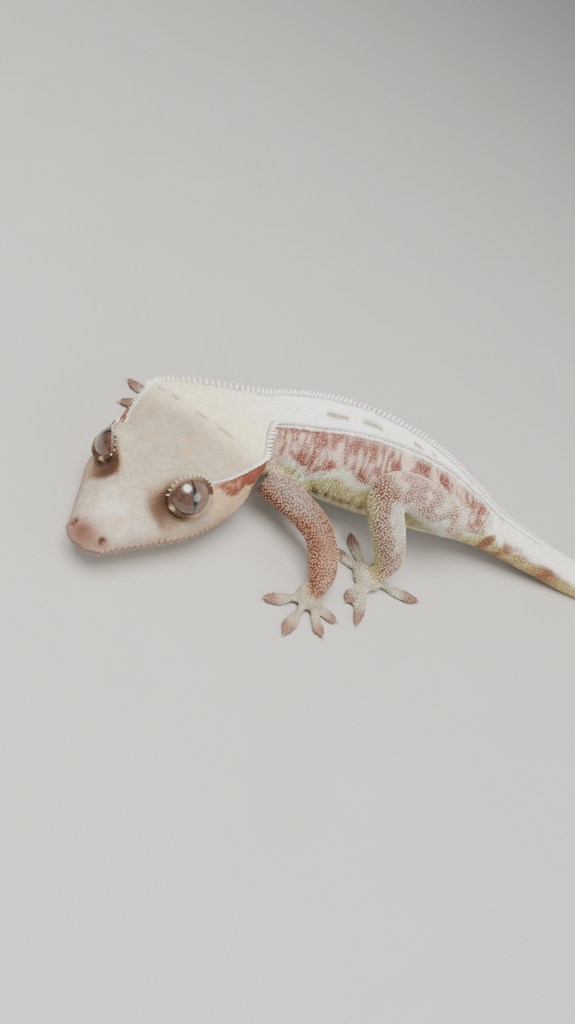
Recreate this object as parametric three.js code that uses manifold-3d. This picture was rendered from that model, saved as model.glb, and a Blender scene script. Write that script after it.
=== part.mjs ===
// A crested gecko, life size, standing on a floor with its head turned to its left.
// Millimetres, +X towards the head end of the body, +Y to the animal's left, +Z up, floor at Z = 0.
import * as THREE from "three";
import { mergeVertices } from "three/addons/utils/BufferGeometryUtils.js";
import Module from "manifold-3d";

const wasm = await Module();
wasm.setup();

// Driving sizes
const GAP = 0.3; // between touching nodes
const HEAD_LENGTH = 33.6; // snout tip to the back of the crown
const EYE_RADIUS = 4.0;
const EYE_PLACE = [16.0, 6.8, -2.4]; // in the head's own frame
const EYE_AXIS = [0.46, 0.66, 0.6]; // where the left eye looks
const BROW_BACK = 1.3; // how far the bulge round the eye sits behind the eyeball's middle
const BROW_RADII = [5.5, 5.0, 4.8];
const LID_RADIUS = 3.45;
const LID_OUT = 2.35; // how far the rim sits in front of the eyeball's middle
const LID_SPINES = 7;
const HEAD_PLACE = [31.36, 1.59, 14.96]; // middle of the crown's back edge
const HEAD_YAW = 56.0;
const HEAD_PITCH = 3.5;
const HEAD_ROLL = 8.5;
const CREST_ANGLE = 63; // where the crest rows start on the neck, in degrees above the side
const CREST_ANGLE_REAR = 79; // where they end over the hips
const TORSO_CREST_SPINES = 30; // in each row
const HEAD_CREST_SPINES = 10;
const NECK_CREST_SPINES = { left: 5, right: 15 };
const NECK_INSET = 0.15; // how far the neck's front edge lies inside the head's back edge
const NECK_EASE = 0.6; // how straight the neck leaves the head and the torso
const TAIL_CREST_SPINES = 7;
const FLOOR = 0;

// The spine from the head joint to the tail tip: centre, half width, height above and depth below it
const SPINE = [
  { at: [29.6, 2.6, 10.6], wide: 7.4, up: 5.4, down: 5.2 },
  { at: [22.0, -0.6, 12.2], wide: 7.3, up: 6.4, down: 6.0 },
  { at: [13.0, -0.9, 13.8], wide: 8.5, up: 8.1, down: 8.3 },
  { at: [2.0, -0.3, 15.2], wide: 9.4, up: 8.6, down: 9.7 },
  { at: [-10.0, 0.2, 14.0], wide: 8.7, up: 8.2, down: 8.4 },
  { at: [-21.5, 0.3, 11.6], wide: 6.8, up: 6.2, down: 5.8 },
  { at: [-32.0, 0.4, 9.0], wide: 4.5, up: 4.4, down: 4.2 },
  { at: [-46.0, 0.7, 5.9], wide: 3.9, up: 3.7, down: 3.6 },
  { at: [-60.0, 1.4, 3.4], wide: 3.5, up: 3.3, down: 3.5 },
  { at: [-75.0, 3.4, 2.75], wide: 3.0, up: 2.8, down: 2.9 },
  { at: [-89.0, 8.4, 2.2], wide: 2.5, up: 2.2, down: 2.35 },
  { at: [-99.0, 17.0, 1.7], wide: 2.0, up: 1.6, down: 1.85 },
  { at: [-103.0, 28.0, 1.2], wide: 2.2, up: 1.0, down: 1.35 },
];
// Where the spine is divided, counted in control points
const NECK_END = 1.25;
const TORSO_END = 5.55;
const TAIL_BASE_END = 8;
const TAIL_MID_END = 10;

// Head sections from the back of the crown to the snout, in the head's own frame
const HEAD = [
  { x: 0.0, crown: 13.4, droop: 1.0, jaw: 11.6, top: 0.3, bottom: -10.6, middle: -6.6 },
  { x: 4.0, crown: 12.9, droop: 1.4, jaw: 12.9, top: 0.9, bottom: -11.8, middle: -7.4 },
  { x: 9.0, crown: 11.6, droop: 1.8, jaw: 12.9, top: 1.2, bottom: -12.2, middle: -7.8 },
  { x: 14.0, crown: 9.2, droop: 1.5, jaw: 12.0, top: 1.1, bottom: -12.0, middle: -7.8 },
  { x: 18.0, crown: 7.2, droop: 0.8, jaw: 10.8, top: 0.5, bottom: -11.5, middle: -7.6 },
  { x: 22.0, crown: 5.2, droop: 0.2, jaw: 8.7, top: -0.8, bottom: -10.9, middle: -7.4 },
  { x: 26.0, crown: 4.2, droop: 0.0, jaw: 6.6, top: -2.2, bottom: -10.0, middle: -7.0 },
  { x: 30.0, crown: 3.2, droop: 0.0, jaw: 4.5, top: -3.5, bottom: -8.9, middle: -6.6 },
  { x: 32.4, crown: 2.4, droop: 0.0, jaw: 3.4, top: -4.5, bottom: -8.0, middle: -6.4 },
  { x: HEAD_LENGTH, crown: 1.1, droop: 0.0, jaw: 1.4, top: -5.6, bottom: -7.0, middle: -6.3 },
];
const MOUTH = [
  { x: 4.5, z: -8.3 },
  { x: 12.0, z: -8.9 },
  { x: 22.0, z: -8.3 },
  { x: 29.0, z: -7.4 },
  { x: 32.2, z: -6.9 },
];

// Legs: joints from the body outwards, the palm, and each toe's tip on the floor from the inner to the outer toe
const LEGS = {
  left_fore: {
    joints: [[17.5, 6.2, 9.4], [7.4, 15.4, 8.8], [5.0, 22.4, 3.6]],
    palm: [6.0, 23.6], radii: [3.3, 2.9, 3.0, 2.3],
    toes: [[14.7, 25.9], [11.2, 32.4], [3.4, 31.0], [0.2, 26.9], [0.9, 17.9]],
  },
  right_fore: {
    joints: [[15.0, -5.5, 9.5], [23.8, -10.6, 5.8], [33.2, -12.6, 3.4]],
    palm: [35.2, -13.2], radii: [3.2, 2.4, 2.5, 1.8],
    toes: [[44.0, -10.2], [42.8, -17.0], [36.4, -19.8], [30.4, -19.4], [28.0, -14.6]],
  },
  left_hind: {
    joints: [[-19.5, 5.2, 13.6], [-0.1, 11.5, 20.6], [-8.7, 15.0, 5.6]],
    palm: [-7.0, 15.5], radii: [4.8, 3.1, 3.3, 2.5],
    toes: [[-4.7, 5.1], [-0.9, 9.8], [-2.0, 22.0], [-3.9, 26.6], [-18.6, 17.2]],
  },
  right_hind: {
    joints: [[-16.0, -4.5, 12.0], [-4.5, -11.5, 13.0], [-14.0, -12.5, 4.4]],
    palm: [-15.2, -13.2], radii: [4.6, 3.0, 3.0, 1.9],
    toes: [[-6.6, -9.6], [-7.2, -16.4], [-12.2, -21.6], [-19.0, -20.6], [-23.6, -13.6]],
  },
};

const radians = (degrees) => (degrees * Math.PI) / 180;
const mix = (a, b, t) => a + (b - a) * t;
const smooth = (low, high, value) => {
  const t = Math.min(1, Math.max(0, (value - low) / (high - low)));
  return t * t * (3 - 2 * t);
};

// A Catmull-Rom value through equally spaced keys; place counts keys
function along(keys, place) {
  const last = keys.length - 1;
  const index = Math.min(Math.max(Math.floor(place), 0), last - 1);
  const t = place - index;
  const [b, c] = [keys[index], keys[index + 1]];
  const a = index > 0 ? keys[index - 1] : 2 * b - c;
  const d = index + 2 <= last ? keys[index + 2] : 2 * c - b;
  const [m, n] = [(c - a) / 2, (d - b) / 2];
  return (2 * b - 2 * c + m + n) * t ** 3 + (-3 * b + 3 * c - 2 * m - n) * t ** 2 + m * t + b;
}

// Place counted in keys where a rising list of numbers reaches a value
function placeOf(list, value) {
  let index = 0;
  while (index < list.length - 2 && list[index + 1] < value) index++;
  return index + (value - list[index]) / (list[index + 1] - list[index]);
}

// A closed surface over rings of points, with a fan at each end
function skinOver(rings) {
  const sides = rings[0].length;
  const points = rings.flat();
  const centre = (ring) => ring.reduce((sum, p) => sum.add(p), new THREE.Vector3()).divideScalar(sides);
  points.push(centre(rings[0]), centre(rings.at(-1)));
  const [first, last] = [points.length - 2, points.length - 1];
  const faces = [];
  for (let i = 0; i < rings.length; i++) {
    for (let j = 0; j < sides; j++) {
      const k = (j + 1) % sides;
      const here = i * sides;
      if (i === 0) faces.push(first, k, j);
      if (i === rings.length - 1) faces.push(last, here + j, here + k);
      else faces.push(here + j, here + k, here + sides + k, here + j, here + sides + k, here + sides + j);
    }
  }
  const geometry = new THREE.BufferGeometry().setFromPoints(points);
  geometry.setIndex(faces);
  return geometry;
}

function solid(geometry) {
  geometry.deleteAttribute("normal");
  geometry.deleteAttribute("uv");
  const merged = mergeVertices(geometry, 1e-4);
  const made = new wasm.Manifold(new wasm.Mesh({
    numProp: 3, vertProperties: merged.attributes.position.array, triVerts: new Uint32Array(merged.index.array),
  }));
  if (made.volume() > 0) return made;
  const flipped = new Uint32Array(merged.index.array).reverse();
  return new wasm.Manifold(new wasm.Mesh({
    numProp: 3, vertProperties: merged.attributes.position.array, triVerts: flipped,
  }));
}

const join = (solids) => solids.reduce((a, b) => a.add(b));
const MERGE = 0.02; // points closer than this fall together after the joins and cuts
const largest = (body) => body.decompose().reduce((a, b) => (a.volume() > b.volume() ? a : b)).simplify(MERGE);

function geometryOf(body) {
  const mesh = body.getMesh();
  const points = new Float32Array(mesh.numVert * 3);
  for (let i = 0; i < mesh.numVert; i++) {
    points.set(mesh.vertProperties.subarray(i * mesh.numProp, i * mesh.numProp + 3), i * 3);
  }
  return new THREE.BufferGeometry()
    .setAttribute("position", new THREE.BufferAttribute(points, 3))
    .setIndex(new THREE.BufferAttribute(new Uint32Array(mesh.triVerts), 1));
}

// The spine's frame at a place: centre, direction to the tail, left side and up
function spineFrame(place) {
  const at = (p) => new THREE.Vector3(...[0, 1, 2].map((k) => along(SPINE.map((s) => s.at[k]), p)));
  const centre = at(place);
  const ahead = at(place + 0.01).sub(at(place - 0.01)).normalize();
  const left = new THREE.Vector3(0, 0, 1).cross(ahead).negate().normalize();
  return { centre, ahead, left, up: new THREE.Vector3().crossVectors(ahead, left).negate().normalize() };
}

// How far above the side the crest rows run at a place along the spine
const crestAngle = (place) => radians(mix(CREST_ANGLE, CREST_ANGLE_REAR, smooth(1.5, 4.6, place)));

// A body section's radius at an angle above the left side: a rounded oval with a low ridge along each crest
function bodyRadius(place, angle, grow) {
  const [wide, up, down] = ["wide", "up", "down"].map((key) => along(SPINE.map((s) => s[key]), place));
  const tall = Math.sin(angle) >= 0 ? up : down;
  const power = Math.sin(angle) >= 0 ? 2.35 : 2.15;
  const oval = (Math.abs(Math.cos(angle) / wide) ** power + Math.abs(Math.sin(angle) / tall) ** power) ** (-1 / power);
  const offset = (Math.abs(angle - Math.PI / 2) - (Math.PI / 2 - crestAngle(place))) / radians(9);
  const ridge = 0.35 * (1 - smooth(7.5, 9.5, place)) * Math.exp(-offset * offset);
  return oval + ridge + grow;
}

function bodyPoint(place, angle, grow = 0) {
  const { centre, left, up } = spineFrame(place);
  const radius = bodyRadius(place, angle, grow);
  return centre.clone()
    .addScaledVector(left, radius * Math.cos(angle))
    .addScaledVector(up, radius * Math.sin(angle));
}

function bodyLoft(from, to, steps, sides, grow = 0) {
  const rings = [];
  for (let i = 0; i <= steps; i++) {
    const place = mix(from, to, i / steps);
    rings.push(Array.from({ length: sides }, (_, j) => bodyPoint(place, (2 * Math.PI * j) / sides, grow)));
  }
  return solid(skinOver(rings));
}

// A shift along the spine, in control points, that is about half of the gap
function halfGap(place) {
  const ends = [place - 0.05, place + 0.05].map((p) => spineFrame(p).centre);
  return ((GAP / 2) * 0.1) / ends[0].distanceTo(ends[1]);
}

// A spine of the crest: a slim cone with its root sunk in the skin
function crestSpine(root, direction, height, width) {
  const cone = new THREE.ConeGeometry(width / 2, height * 1.5, 5, 1);
  cone.translate(0, height * 0.25, 0);
  cone.applyQuaternion(new THREE.Quaternion().setFromUnitVectors(new THREE.Vector3(0, 1, 0), direction));
  cone.translate(root.x, root.y, root.z);
  return solid(cone);
}

function bodyCrest(from, to, count, height) {
  const spines = [];
  for (const side of [-1, 1]) {
    for (let i = 0; i < count; i++) {
      const share = (i + 0.5) / count;
      const place = mix(from, to, share);
      const angle = Math.PI / 2 - side * (Math.PI / 2 - crestAngle(place));
      const { centre } = spineFrame(place);
      const root = bodyPoint(place, angle);
      const direction = root.clone().sub(centre).normalize();
      const varied = height(share) * (0.9 + 0.2 * Math.abs(Math.sin(i * 2.3 + side)));
      spines.push(crestSpine(root, direction, varied, varied * 0.75));
    }
  }
  return spines;
}

// The head
function headValue(key, x) {
  const place = placeOf(HEAD.map((s) => s.x), x);
  return along(HEAD.map((s) => s[key]), place);
}

// A point of the head's surface: a rounded box, wider at the crown than at the jaw
function headPoint(x, angle) {
  const keys = ["crown", "droop", "jaw", "top", "bottom", "middle"];
  const [crown, droop, jaw, top, bottom, middle] = keys.map((key) => headValue(key, x));
  const power = Math.sin(angle) >= 0 ? 2 / mix(6, 2.6, smooth(3, 26, x)) : 2 / 2.5;
  const across = Math.sign(Math.cos(angle)) * Math.abs(Math.cos(angle)) ** power;
  const level = Math.sign(Math.sin(angle)) * Math.abs(Math.sin(angle)) ** power;
  const width = mix(jaw, crown, smooth(-0.1, 0.9, level));
  const height = level >= 0 ? mix(middle, top - droop * across ** 2, level) : mix(middle, bottom, -level);
  return browed(new THREE.Vector3(x, across * width, height));
}

// A point moved out on to the bulge round each eye where it lies inside it
function browed(point) {
  for (const side of [-1, 1]) {
    const centre = eyeCentre(side).addScaledVector(eyeAxis(side), -BROW_BACK);
    const inside = point.clone().sub(centre);
    const depth = inside.clone().divide(new THREE.Vector3(...BROW_RADII)).length();
    if (depth < 1) point = centre.add(inside.divideScalar(Math.max(depth, 0.2)));
  }
  return point;
}

function headLoft() {
  const rings = [];
  const [steps, sides] = [30, 34];
  for (let i = 0; i <= steps; i++) {
    const x = HEAD_LENGTH * Math.sin(((i / steps) * Math.PI) / 2 * 0.72) / Math.sin(Math.PI / 2 * 0.72);
    rings.push(Array.from({ length: sides }, (_, j) => headPoint(x, (2 * Math.PI * j) / sides)));
  }
  return solid(skinOver(rings));
}

// The height above the jaw line turned into an angle round a head section
function headAt(x, z, side) {
  let [low, high] = [-Math.PI / 2, Math.PI / 2];
  for (let i = 0; i < 24; i++) {
    const angle = (low + high) / 2;
    if (headPoint(x, angle).z < z) low = angle;
    else high = angle;
  }
  const point = headPoint(x, low);
  return new THREE.Vector3(point.x, side * point.y, point.z);
}

// A thin blade that cuts the line of the mouth round the snout
function mouthCutter() {
  const [inside, outside, half] = [0.7, 0.8, 0.2];
  const side = [];
  for (let i = 0; i <= 14; i++) {
    const x = mix(4.5, 32.4, i / 14);
    const z = along(MOUTH.map((m) => m.z), placeOf(MOUTH.map((m) => m.x), x));
    side.push(headAt(x, z, 1));
  }
  const front = new THREE.Vector3(HEAD_LENGTH - 0.15, 0, MOUTH.at(-1).z);
  const line = [...side, front, ...side.map((p) => new THREE.Vector3(p.x, -p.y, p.z)).reverse()];
  const rings = line.map((point, i) => {
    const ahead = line[Math.min(i + 1, line.length - 1)].clone().sub(line[Math.max(i - 1, 0)]);
    const out = new THREE.Vector3(ahead.y, -ahead.x, 0).normalize().negate();
    const corner = (o, h) => point.clone().addScaledVector(out, o).add(new THREE.Vector3(0, 0, h));
    return [corner(-inside, -half), corner(outside, -half), corner(outside, half), corner(-inside, half)];
  });
  return solid(skinOver(rings));
}

const eyeball = (grow) => new THREE.SphereGeometry(EYE_RADIUS + grow, 16, 10).rotateX(Math.PI / 2);

function eyeSolid(side, grow) {
  const [x, y, z] = EYE_PLACE;
  return solid(eyeball(grow).translate(x, side * y, z));
}

const eyeAxis = (side) => new THREE.Vector3(EYE_AXIS[0], side * EYE_AXIS[1], EYE_AXIS[2]).normalize();
const eyeCentre = (side) => new THREE.Vector3(EYE_PLACE[0], side * EYE_PLACE[1], EYE_PLACE[2]);

// The rim of the lids round each eye
function lidRim(side) {
  const rim = new THREE.TorusGeometry(LID_RADIUS, 0.6, 5, 18);
  const place = eyeCentre(side).addScaledVector(eyeAxis(side), LID_OUT);
  rim.applyQuaternion(new THREE.Quaternion().setFromUnitVectors(new THREE.Vector3(0, 0, 1), eyeAxis(side)));
  return solid(rim.translate(place.x, place.y, place.z));
}

// A row of small spines along the edge of each upper lid
function lidCrest(side) {
  const axis = eyeAxis(side);
  const ahead = new THREE.Vector3(1, 0, 0).addScaledVector(axis, -axis.x).normalize();
  const up = new THREE.Vector3().crossVectors(ahead, axis).multiplyScalar(-side).normalize();
  return Array.from({ length: LID_SPINES }, (_, i) => {
    const angle = radians(mix(20, 150, i / (LID_SPINES - 1)));
    const out = ahead.clone().multiplyScalar(Math.cos(angle)).addScaledVector(up, Math.sin(angle));
    const root = eyeCentre(side).addScaledVector(axis, LID_OUT + 0.35).addScaledVector(out, LID_RADIUS + 0.25);
    return crestSpine(root, out.addScaledVector(axis, 0.8).normalize(), 0.55, 0.6);
  });
}

function headCrest() {
  const spines = [];
  for (const side of [-1, 1]) {
    for (let i = 0; i < HEAD_CREST_SPINES; i++) {
      const share = i / (HEAD_CREST_SPINES - 1);
      const point = headPoint(mix(12.2, 0.5, share), radians(45));
      const root = new THREE.Vector3(point.x, side * (point.y - 0.15), point.z - 0.1);
      const direction = new THREE.Vector3(-0.1, side, 0.45).normalize();
      spines.push(crestSpine(root, direction, mix(0.75, 1.15, share), 0.85));
    }
    spines.push(...lidCrest(side));
  }
  return spines;
}

function ball(place, radii, around = 10, rows = 6) {
  return solid(new THREE.SphereGeometry(1, around, rows).scale(...radii).translate(...place));
}

function headSolid() {
  const cuts = [mouthCutter()];
  const forms = [headLoft(), ...headCrest()];
  for (const side of [-1, 1]) {
    forms.push(lidRim(side));
    const nostril = headAt(31.3, -5.1, side);
    cuts.push(ball([nostril.x, nostril.y, nostril.z], [0.55, 0.6, 0.5]));
    const ear = headAt(3.4, -5.6, side);
    cuts.push(ball([ear.x, ear.y, ear.z], [0.8, 0.9, 1.5]));
    cuts.push(eyeSolid(side, GAP));
  }
  return largest(join(forms).subtract(join(cuts)));
}

const headFrame = new THREE.Matrix4().makeTranslation(...HEAD_PLACE)
  .multiply(new THREE.Matrix4().makeRotationZ(radians(HEAD_YAW)))
  .multiply(new THREE.Matrix4().makeRotationY(radians(HEAD_PITCH)))
  .multiply(new THREE.Matrix4().makeRotationX(radians(HEAD_ROLL)));
const placedHead = (body) => body.transform(headFrame.elements);

// A neck section's angle turned so that the crown's corner runs into the body's crest row
function crestTurned(angle) {
  const folded = Math.abs(Math.abs(angle) - Math.PI / 2);
  if (angle < 0) return angle;
  const above = Math.PI / 2 - folded;
  const corner = radians(45);
  const crest = radians(CREST_ANGLE);
  const turned = above < corner ? (above / corner) * crest : mix(crest, Math.PI / 2, (above - corner) / corner);
  return angle > Math.PI / 2 ? Math.PI - turned : turned;
}

// A point of the neck, from the back of the head to the front of the torso
function neckPoint(share, angle, end, grow = 0) {
  const start = headPoint(0.01, angle);
  const back = new THREE.Vector3(-1, 0, 0).transformDirection(headFrame);
  const from = new THREE.Vector3(0, start.y, start.z);
  from.addScaledVector(new THREE.Vector3(0, start.y, start.z + 5).normalize(), grow - NECK_INSET);
  from.applyMatrix4(headFrame).addScaledVector(back, GAP);
  const to = bodyPoint(end, crestTurned(angle), grow);
  const reach = from.distanceTo(to) * NECK_EASE;
  const ahead = spineFrame(end).ahead;
  const [t2, t3] = [share ** 2, share ** 3];
  return from.clone().multiplyScalar(2 * t3 - 3 * t2 + 1)
    .addScaledVector(back, reach * (t3 - 2 * t2 + share))
    .addScaledVector(to, 3 * t2 - 2 * t3)
    .addScaledVector(ahead, reach * (t3 - t2));
}

function neckLoft(end, grow = 0) {
  const [steps, sides] = [8, 24];
  const rings = [];
  for (let i = 0; i <= steps; i++) {
    rings.push(Array.from({ length: sides }, (_, j) => {
      const angle = (2 * Math.PI * j) / sides;
      return neckPoint(i / steps, angle > Math.PI ? angle - 2 * Math.PI : angle, end, grow);
    }));
  }
  return solid(skinOver(rings));
}

function neckCrest(end) {
  const spines = [];
  for (const side of [-1, 1]) {
    const count = side > 0 ? NECK_CREST_SPINES.left : NECK_CREST_SPINES.right;
    for (let i = 0; i < count; i++) {
      const angle = Math.PI / 2 - side * radians(45);
      const share = (i + 0.7) / (count + 0.4);
      const root = neckPoint(share, angle, end);
      const direction = root.clone().sub(neckPoint(share, Math.PI / 2, end));
      direction.add(new THREE.Vector3(0, 0, direction.length() * 0.9)).normalize();
      spines.push(crestSpine(root, direction, 1.1, 0.85));
    }
  }
  return spines;
}

// A limb in two lengths, oval across, that follow one rounded line and meet in a ball at the bend
function limb(joints, radii, sides = 10) {
  const knots = joints.map((p) => new THREE.Vector3(...p));
  const line = new THREE.CatmullRomCurve3(knots, false, "centripetal");
  const thickness = [radii[0], mix(radii[0], radii[1], 0.6), radii[1], radii[2], radii[3], radii[3], radii[3]];
  const length = (from, to, ahead, steps) => {
    const across = new THREE.Vector3(0, 0, 1).addScaledVector(ahead, -ahead.z).normalize();
    const side = new THREE.Vector3().crossVectors(ahead, across);
    const rings = Array.from({ length: steps + 1 }, (_, i) => {
      const t = mix(from, to, i / steps);
      const radius = along(thickness, t * 6);
      return Array.from({ length: sides }, (__, j) => line.getPoint(t)
        .addScaledVector(across, radius * Math.cos((2 * Math.PI * j) / sides))
        .addScaledVector(side, radius * 0.92 * Math.sin((2 * Math.PI * j) / sides)));
    });
    return solid(skinOver(rings));
  };
  const [upper, lower] = [0, 1].map((k) => knots[k + 1].clone().sub(knots[k]).normalize());
  const bend = ball(joints[1], [1, 1, 1].map(() => radii[1] * 0.98), 12, 8);
  return join([length(0, 1 / 3, upper, 6), length(1 / 3, 1, lower, 9), bend]);
}

// A toe from the palm to its tip: a slim shaft, a broad pad and a small claw
function toe(palm, tip) {
  const start = new THREE.Vector3(palm[0], palm[1], 1.3);
  const end = new THREE.Vector3(tip[0], tip[1], 0.75);
  const ahead = end.clone().sub(start).setZ(0).normalize();
  const side = new THREE.Vector3(-ahead.y, ahead.x, 0);
  const wide = [1.3, 0.95, 0.85, 1.15, 1.45, 1.35, 0.7];
  const tall = [1.1, 0.85, 0.75, 0.65, 0.6, 0.55, 0.3];
  const high = [1.3, 1.35, 1.15, 0.75, 0.5, 0.5, 0.75];
  const [steps, sides] = [8, 6];
  const rings = [];
  for (let i = 0; i <= steps; i++) {
    const place = (i / steps) * (wide.length - 1);
    const centre = start.clone().lerp(end, i / steps).setZ(along(high, place));
    rings.push(Array.from({ length: sides }, (_, j) => {
      const angle = (2 * Math.PI * j) / sides;
      return centre.clone()
        .addScaledVector(side, along(wide, place) * Math.cos(angle))
        .add(new THREE.Vector3(0, 0, along(tall, place) * Math.sin(angle)));
    }));
  }
  const claw = new THREE.ConeGeometry(0.28, 1.5, 5, 1);
  claw.applyQuaternion(new THREE.Quaternion().setFromUnitVectors(
    new THREE.Vector3(0, 1, 0), ahead.clone().setZ(-0.25).normalize()));
  claw.translate(...end.clone().addScaledVector(ahead, 0.35).setZ(0.85).toArray());
  return join([solid(skinOver(rings)), solid(claw)]);
}

const palmBall = ([x, y], size, grow) => ball([x, y, 1.7], [size + grow, size + grow, 1.9 + grow]);

function footSolid({ palm, toes }, size) {
  const whole = join([palmBall(palm, size, 0), ...toes.map((tip) => toe(palm, tip))]);
  return largest(whole.trimByPlane([0, 0, 1], FLOOR));
}

// Each leg: its two lengths and its foot, cut clear of what they grow from
function legNodes(name, leg, trunk) {
  const [root, bend] = leg.joints.map((p) => new THREE.Vector3(...p));
  const end = new THREE.Vector3(...leg.joints[2]);
  const normal = end.clone().sub(bend).normalize().add(bend.clone().sub(root).normalize()).normalize();
  const size = name.endsWith("fore") ? 2.7 : 3.1;
  const whole = limb([...leg.joints, [leg.palm[0], leg.palm[1], 2]], leg.radii)
    .subtract(trunk).subtract(palmBall(leg.palm, size, GAP));
  const offset = normal.dot(bend);
  const [upper, lower] = name.endsWith("fore") ? ["upper_arm", "forearm"] : ["thigh", "shank"];
  const side = name.split("_")[0];
  const n = normal.toArray();
  return {
    [`${upper}_${side}`]: largest(whole.trimByPlane(n.map((v) => -v), -(offset - GAP / 2))),
    [`${lower}_${side}`]: largest(whole.trimByPlane(n, offset + GAP / 2)),
    [`${name.endsWith("fore") ? "forefoot" : "hindfoot"}_${side}`]: footSolid(leg, size),
  };
}

function buildNodes() {
  const trunk = join([bodyLoft(NECK_END - 0.3, TORSO_END + 0.4, 22, 20, GAP), neckLoft(NECK_END - 0.1, GAP)]);
  const cut = (place, sign) => place + sign * halfGap(place);
  const onFloor = (body) => largest(body.trimByPlane([0, 0, 1], FLOOR));
  const head = placedHead(headSolid());
  const neckEnd = cut(NECK_END, -1);
  const nodes = {
    head,
    eye_left: placedHead(eyeSolid(1, 0)),
    eye_right: placedHead(eyeSolid(-1, 0)),
    neck: largest(join([neckLoft(neckEnd), ...neckCrest(neckEnd)])),
    torso: largest(join([
      bodyLoft(cut(NECK_END, 1), cut(TORSO_END, -1), 20, 24),
      ...bodyCrest(NECK_END + 0.05, TORSO_END - 0.05, TORSO_CREST_SPINES, (share) => mix(1.05, 0.8, share)),
    ])),
    tail_base: onFloor(join([
      bodyLoft(cut(TORSO_END, 1), cut(TAIL_BASE_END, -1), 12, 20),
      ...bodyCrest(TORSO_END + 0.1, TORSO_END + 1.2, TAIL_CREST_SPINES, (share) => mix(0.75, 0.6, share)),
    ])),
    tail_middle: onFloor(bodyLoft(cut(TAIL_BASE_END, 1), cut(TAIL_MID_END, -1), 10, 16)),
    tail_tip: onFloor(bodyLoft(cut(TAIL_MID_END, 1), SPINE.length - 1, 12, 16)),
  };
  for (const [name, leg] of Object.entries(LEGS)) Object.assign(nodes, legNodes(name, leg, trunk));
  return nodes;
}

const COLOURS = {
  head: 0xcfc4b2, eye: 0x7d6058, body: 0xd9d3c4, limb: 0xb58f7c, foot: 0xcabfb0, tail: 0xdcd8c8,
};
function colourOf(name) {
  if (name.startsWith("eye")) return COLOURS.eye;
  if (name === "head") return COLOURS.head;
  if (name.startsWith("tail")) return COLOURS.tail;
  if (name.includes("foot")) return COLOURS.foot;
  return /arm|thigh|shank/.test(name) ? COLOURS.limb : COLOURS.body;
}

const gecko = new THREE.Group();
for (const [name, body] of Object.entries(buildNodes())) {
  const roughness = name.startsWith("eye") ? 0.15 : 0.7;
  const material = new THREE.MeshStandardMaterial({ color: colourOf(name), roughness, metalness: 0 });
  const mesh = new THREE.Mesh(geometryOf(body), material);
  mesh.name = name;
  gecko.add(mesh);
}

// The origin goes to the middle of the underside
const middle = new THREE.Box3().setFromObject(gecko, true).getCenter(new THREE.Vector3());
for (const mesh of gecko.children) mesh.geometry.translate(-middle.x, -middle.y, 0);

export default gecko;
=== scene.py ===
"""A crested gecko as a life-size still model: one skin, its granular scales, crests, eyes and claws."""

from math import radians

import bmesh
import bpy
import numpy as np
from mathutils import Matrix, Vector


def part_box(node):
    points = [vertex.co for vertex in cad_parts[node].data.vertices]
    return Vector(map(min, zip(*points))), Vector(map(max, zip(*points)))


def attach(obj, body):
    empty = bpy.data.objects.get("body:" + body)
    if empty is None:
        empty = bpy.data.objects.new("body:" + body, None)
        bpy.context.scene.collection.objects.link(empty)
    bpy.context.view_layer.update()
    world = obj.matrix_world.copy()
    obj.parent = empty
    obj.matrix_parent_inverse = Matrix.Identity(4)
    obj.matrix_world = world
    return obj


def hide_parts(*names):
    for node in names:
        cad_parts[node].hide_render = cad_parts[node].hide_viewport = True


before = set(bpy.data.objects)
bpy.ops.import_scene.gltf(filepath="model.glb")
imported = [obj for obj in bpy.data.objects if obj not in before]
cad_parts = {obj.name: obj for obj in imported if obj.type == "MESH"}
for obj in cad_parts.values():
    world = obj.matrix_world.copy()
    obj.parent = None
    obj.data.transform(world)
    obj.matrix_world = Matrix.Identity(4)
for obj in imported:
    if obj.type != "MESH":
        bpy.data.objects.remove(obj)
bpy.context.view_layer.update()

bl_info = {
    "name": "Crested gecko",
    "version": (1, 0, 0),
    "blender": (4, 5, 0),
    "location": "3D View > Sidebar > Gecko",
    "description": "Builds a life-size crested gecko over its packed solids",
    "category": "Object",
}

MM = 0.001
UP = np.array([0.0, 0.0, 1.0])
FAR = 1e9  # more millimetres than lie between any two points
NODES_OF_FLESH = [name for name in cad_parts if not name.startswith("eye")]

# The spine from the head joint to the tail tip in millimetres: x, y, z, half width, height above, depth below
SPINE = np.array([
    (29.6, 2.6, 10.6, 7.4, 5.4, 5.2),
    (22.0, -0.6, 12.2, 7.3, 6.4, 6.0),
    (13.0, -0.9, 13.8, 8.5, 8.1, 8.3),
    (2.0, -0.3, 15.2, 9.4, 8.6, 9.7),
    (-10.0, 0.2, 14.0, 8.7, 8.2, 8.4),
    (-21.5, 0.3, 11.6, 6.8, 6.2, 5.8),
    (-32.0, 0.4, 9.0, 4.5, 4.4, 4.2),
    (-46.0, 0.7, 5.9, 3.9, 3.7, 3.6),
    (-60.0, 1.4, 3.4, 3.5, 3.3, 3.5),
    (-75.0, 3.4, 2.75, 3.0, 2.8, 2.9),
    (-89.0, 8.4, 2.2, 2.5, 2.2, 2.35),
    (-99.0, 17.0, 1.7, 2.0, 1.6, 1.85),
    (-103.0, 28.0, 1.2, 2.2, 1.0, 1.35),
])
SPINE_END = len(SPINE) - 1
CREST_ANGLE = radians(63)
CREST_ANGLE_REAR = radians(79)
NECK_END = 1.25
TORSO_END = 5.55
CREST_END = 6.9

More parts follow.
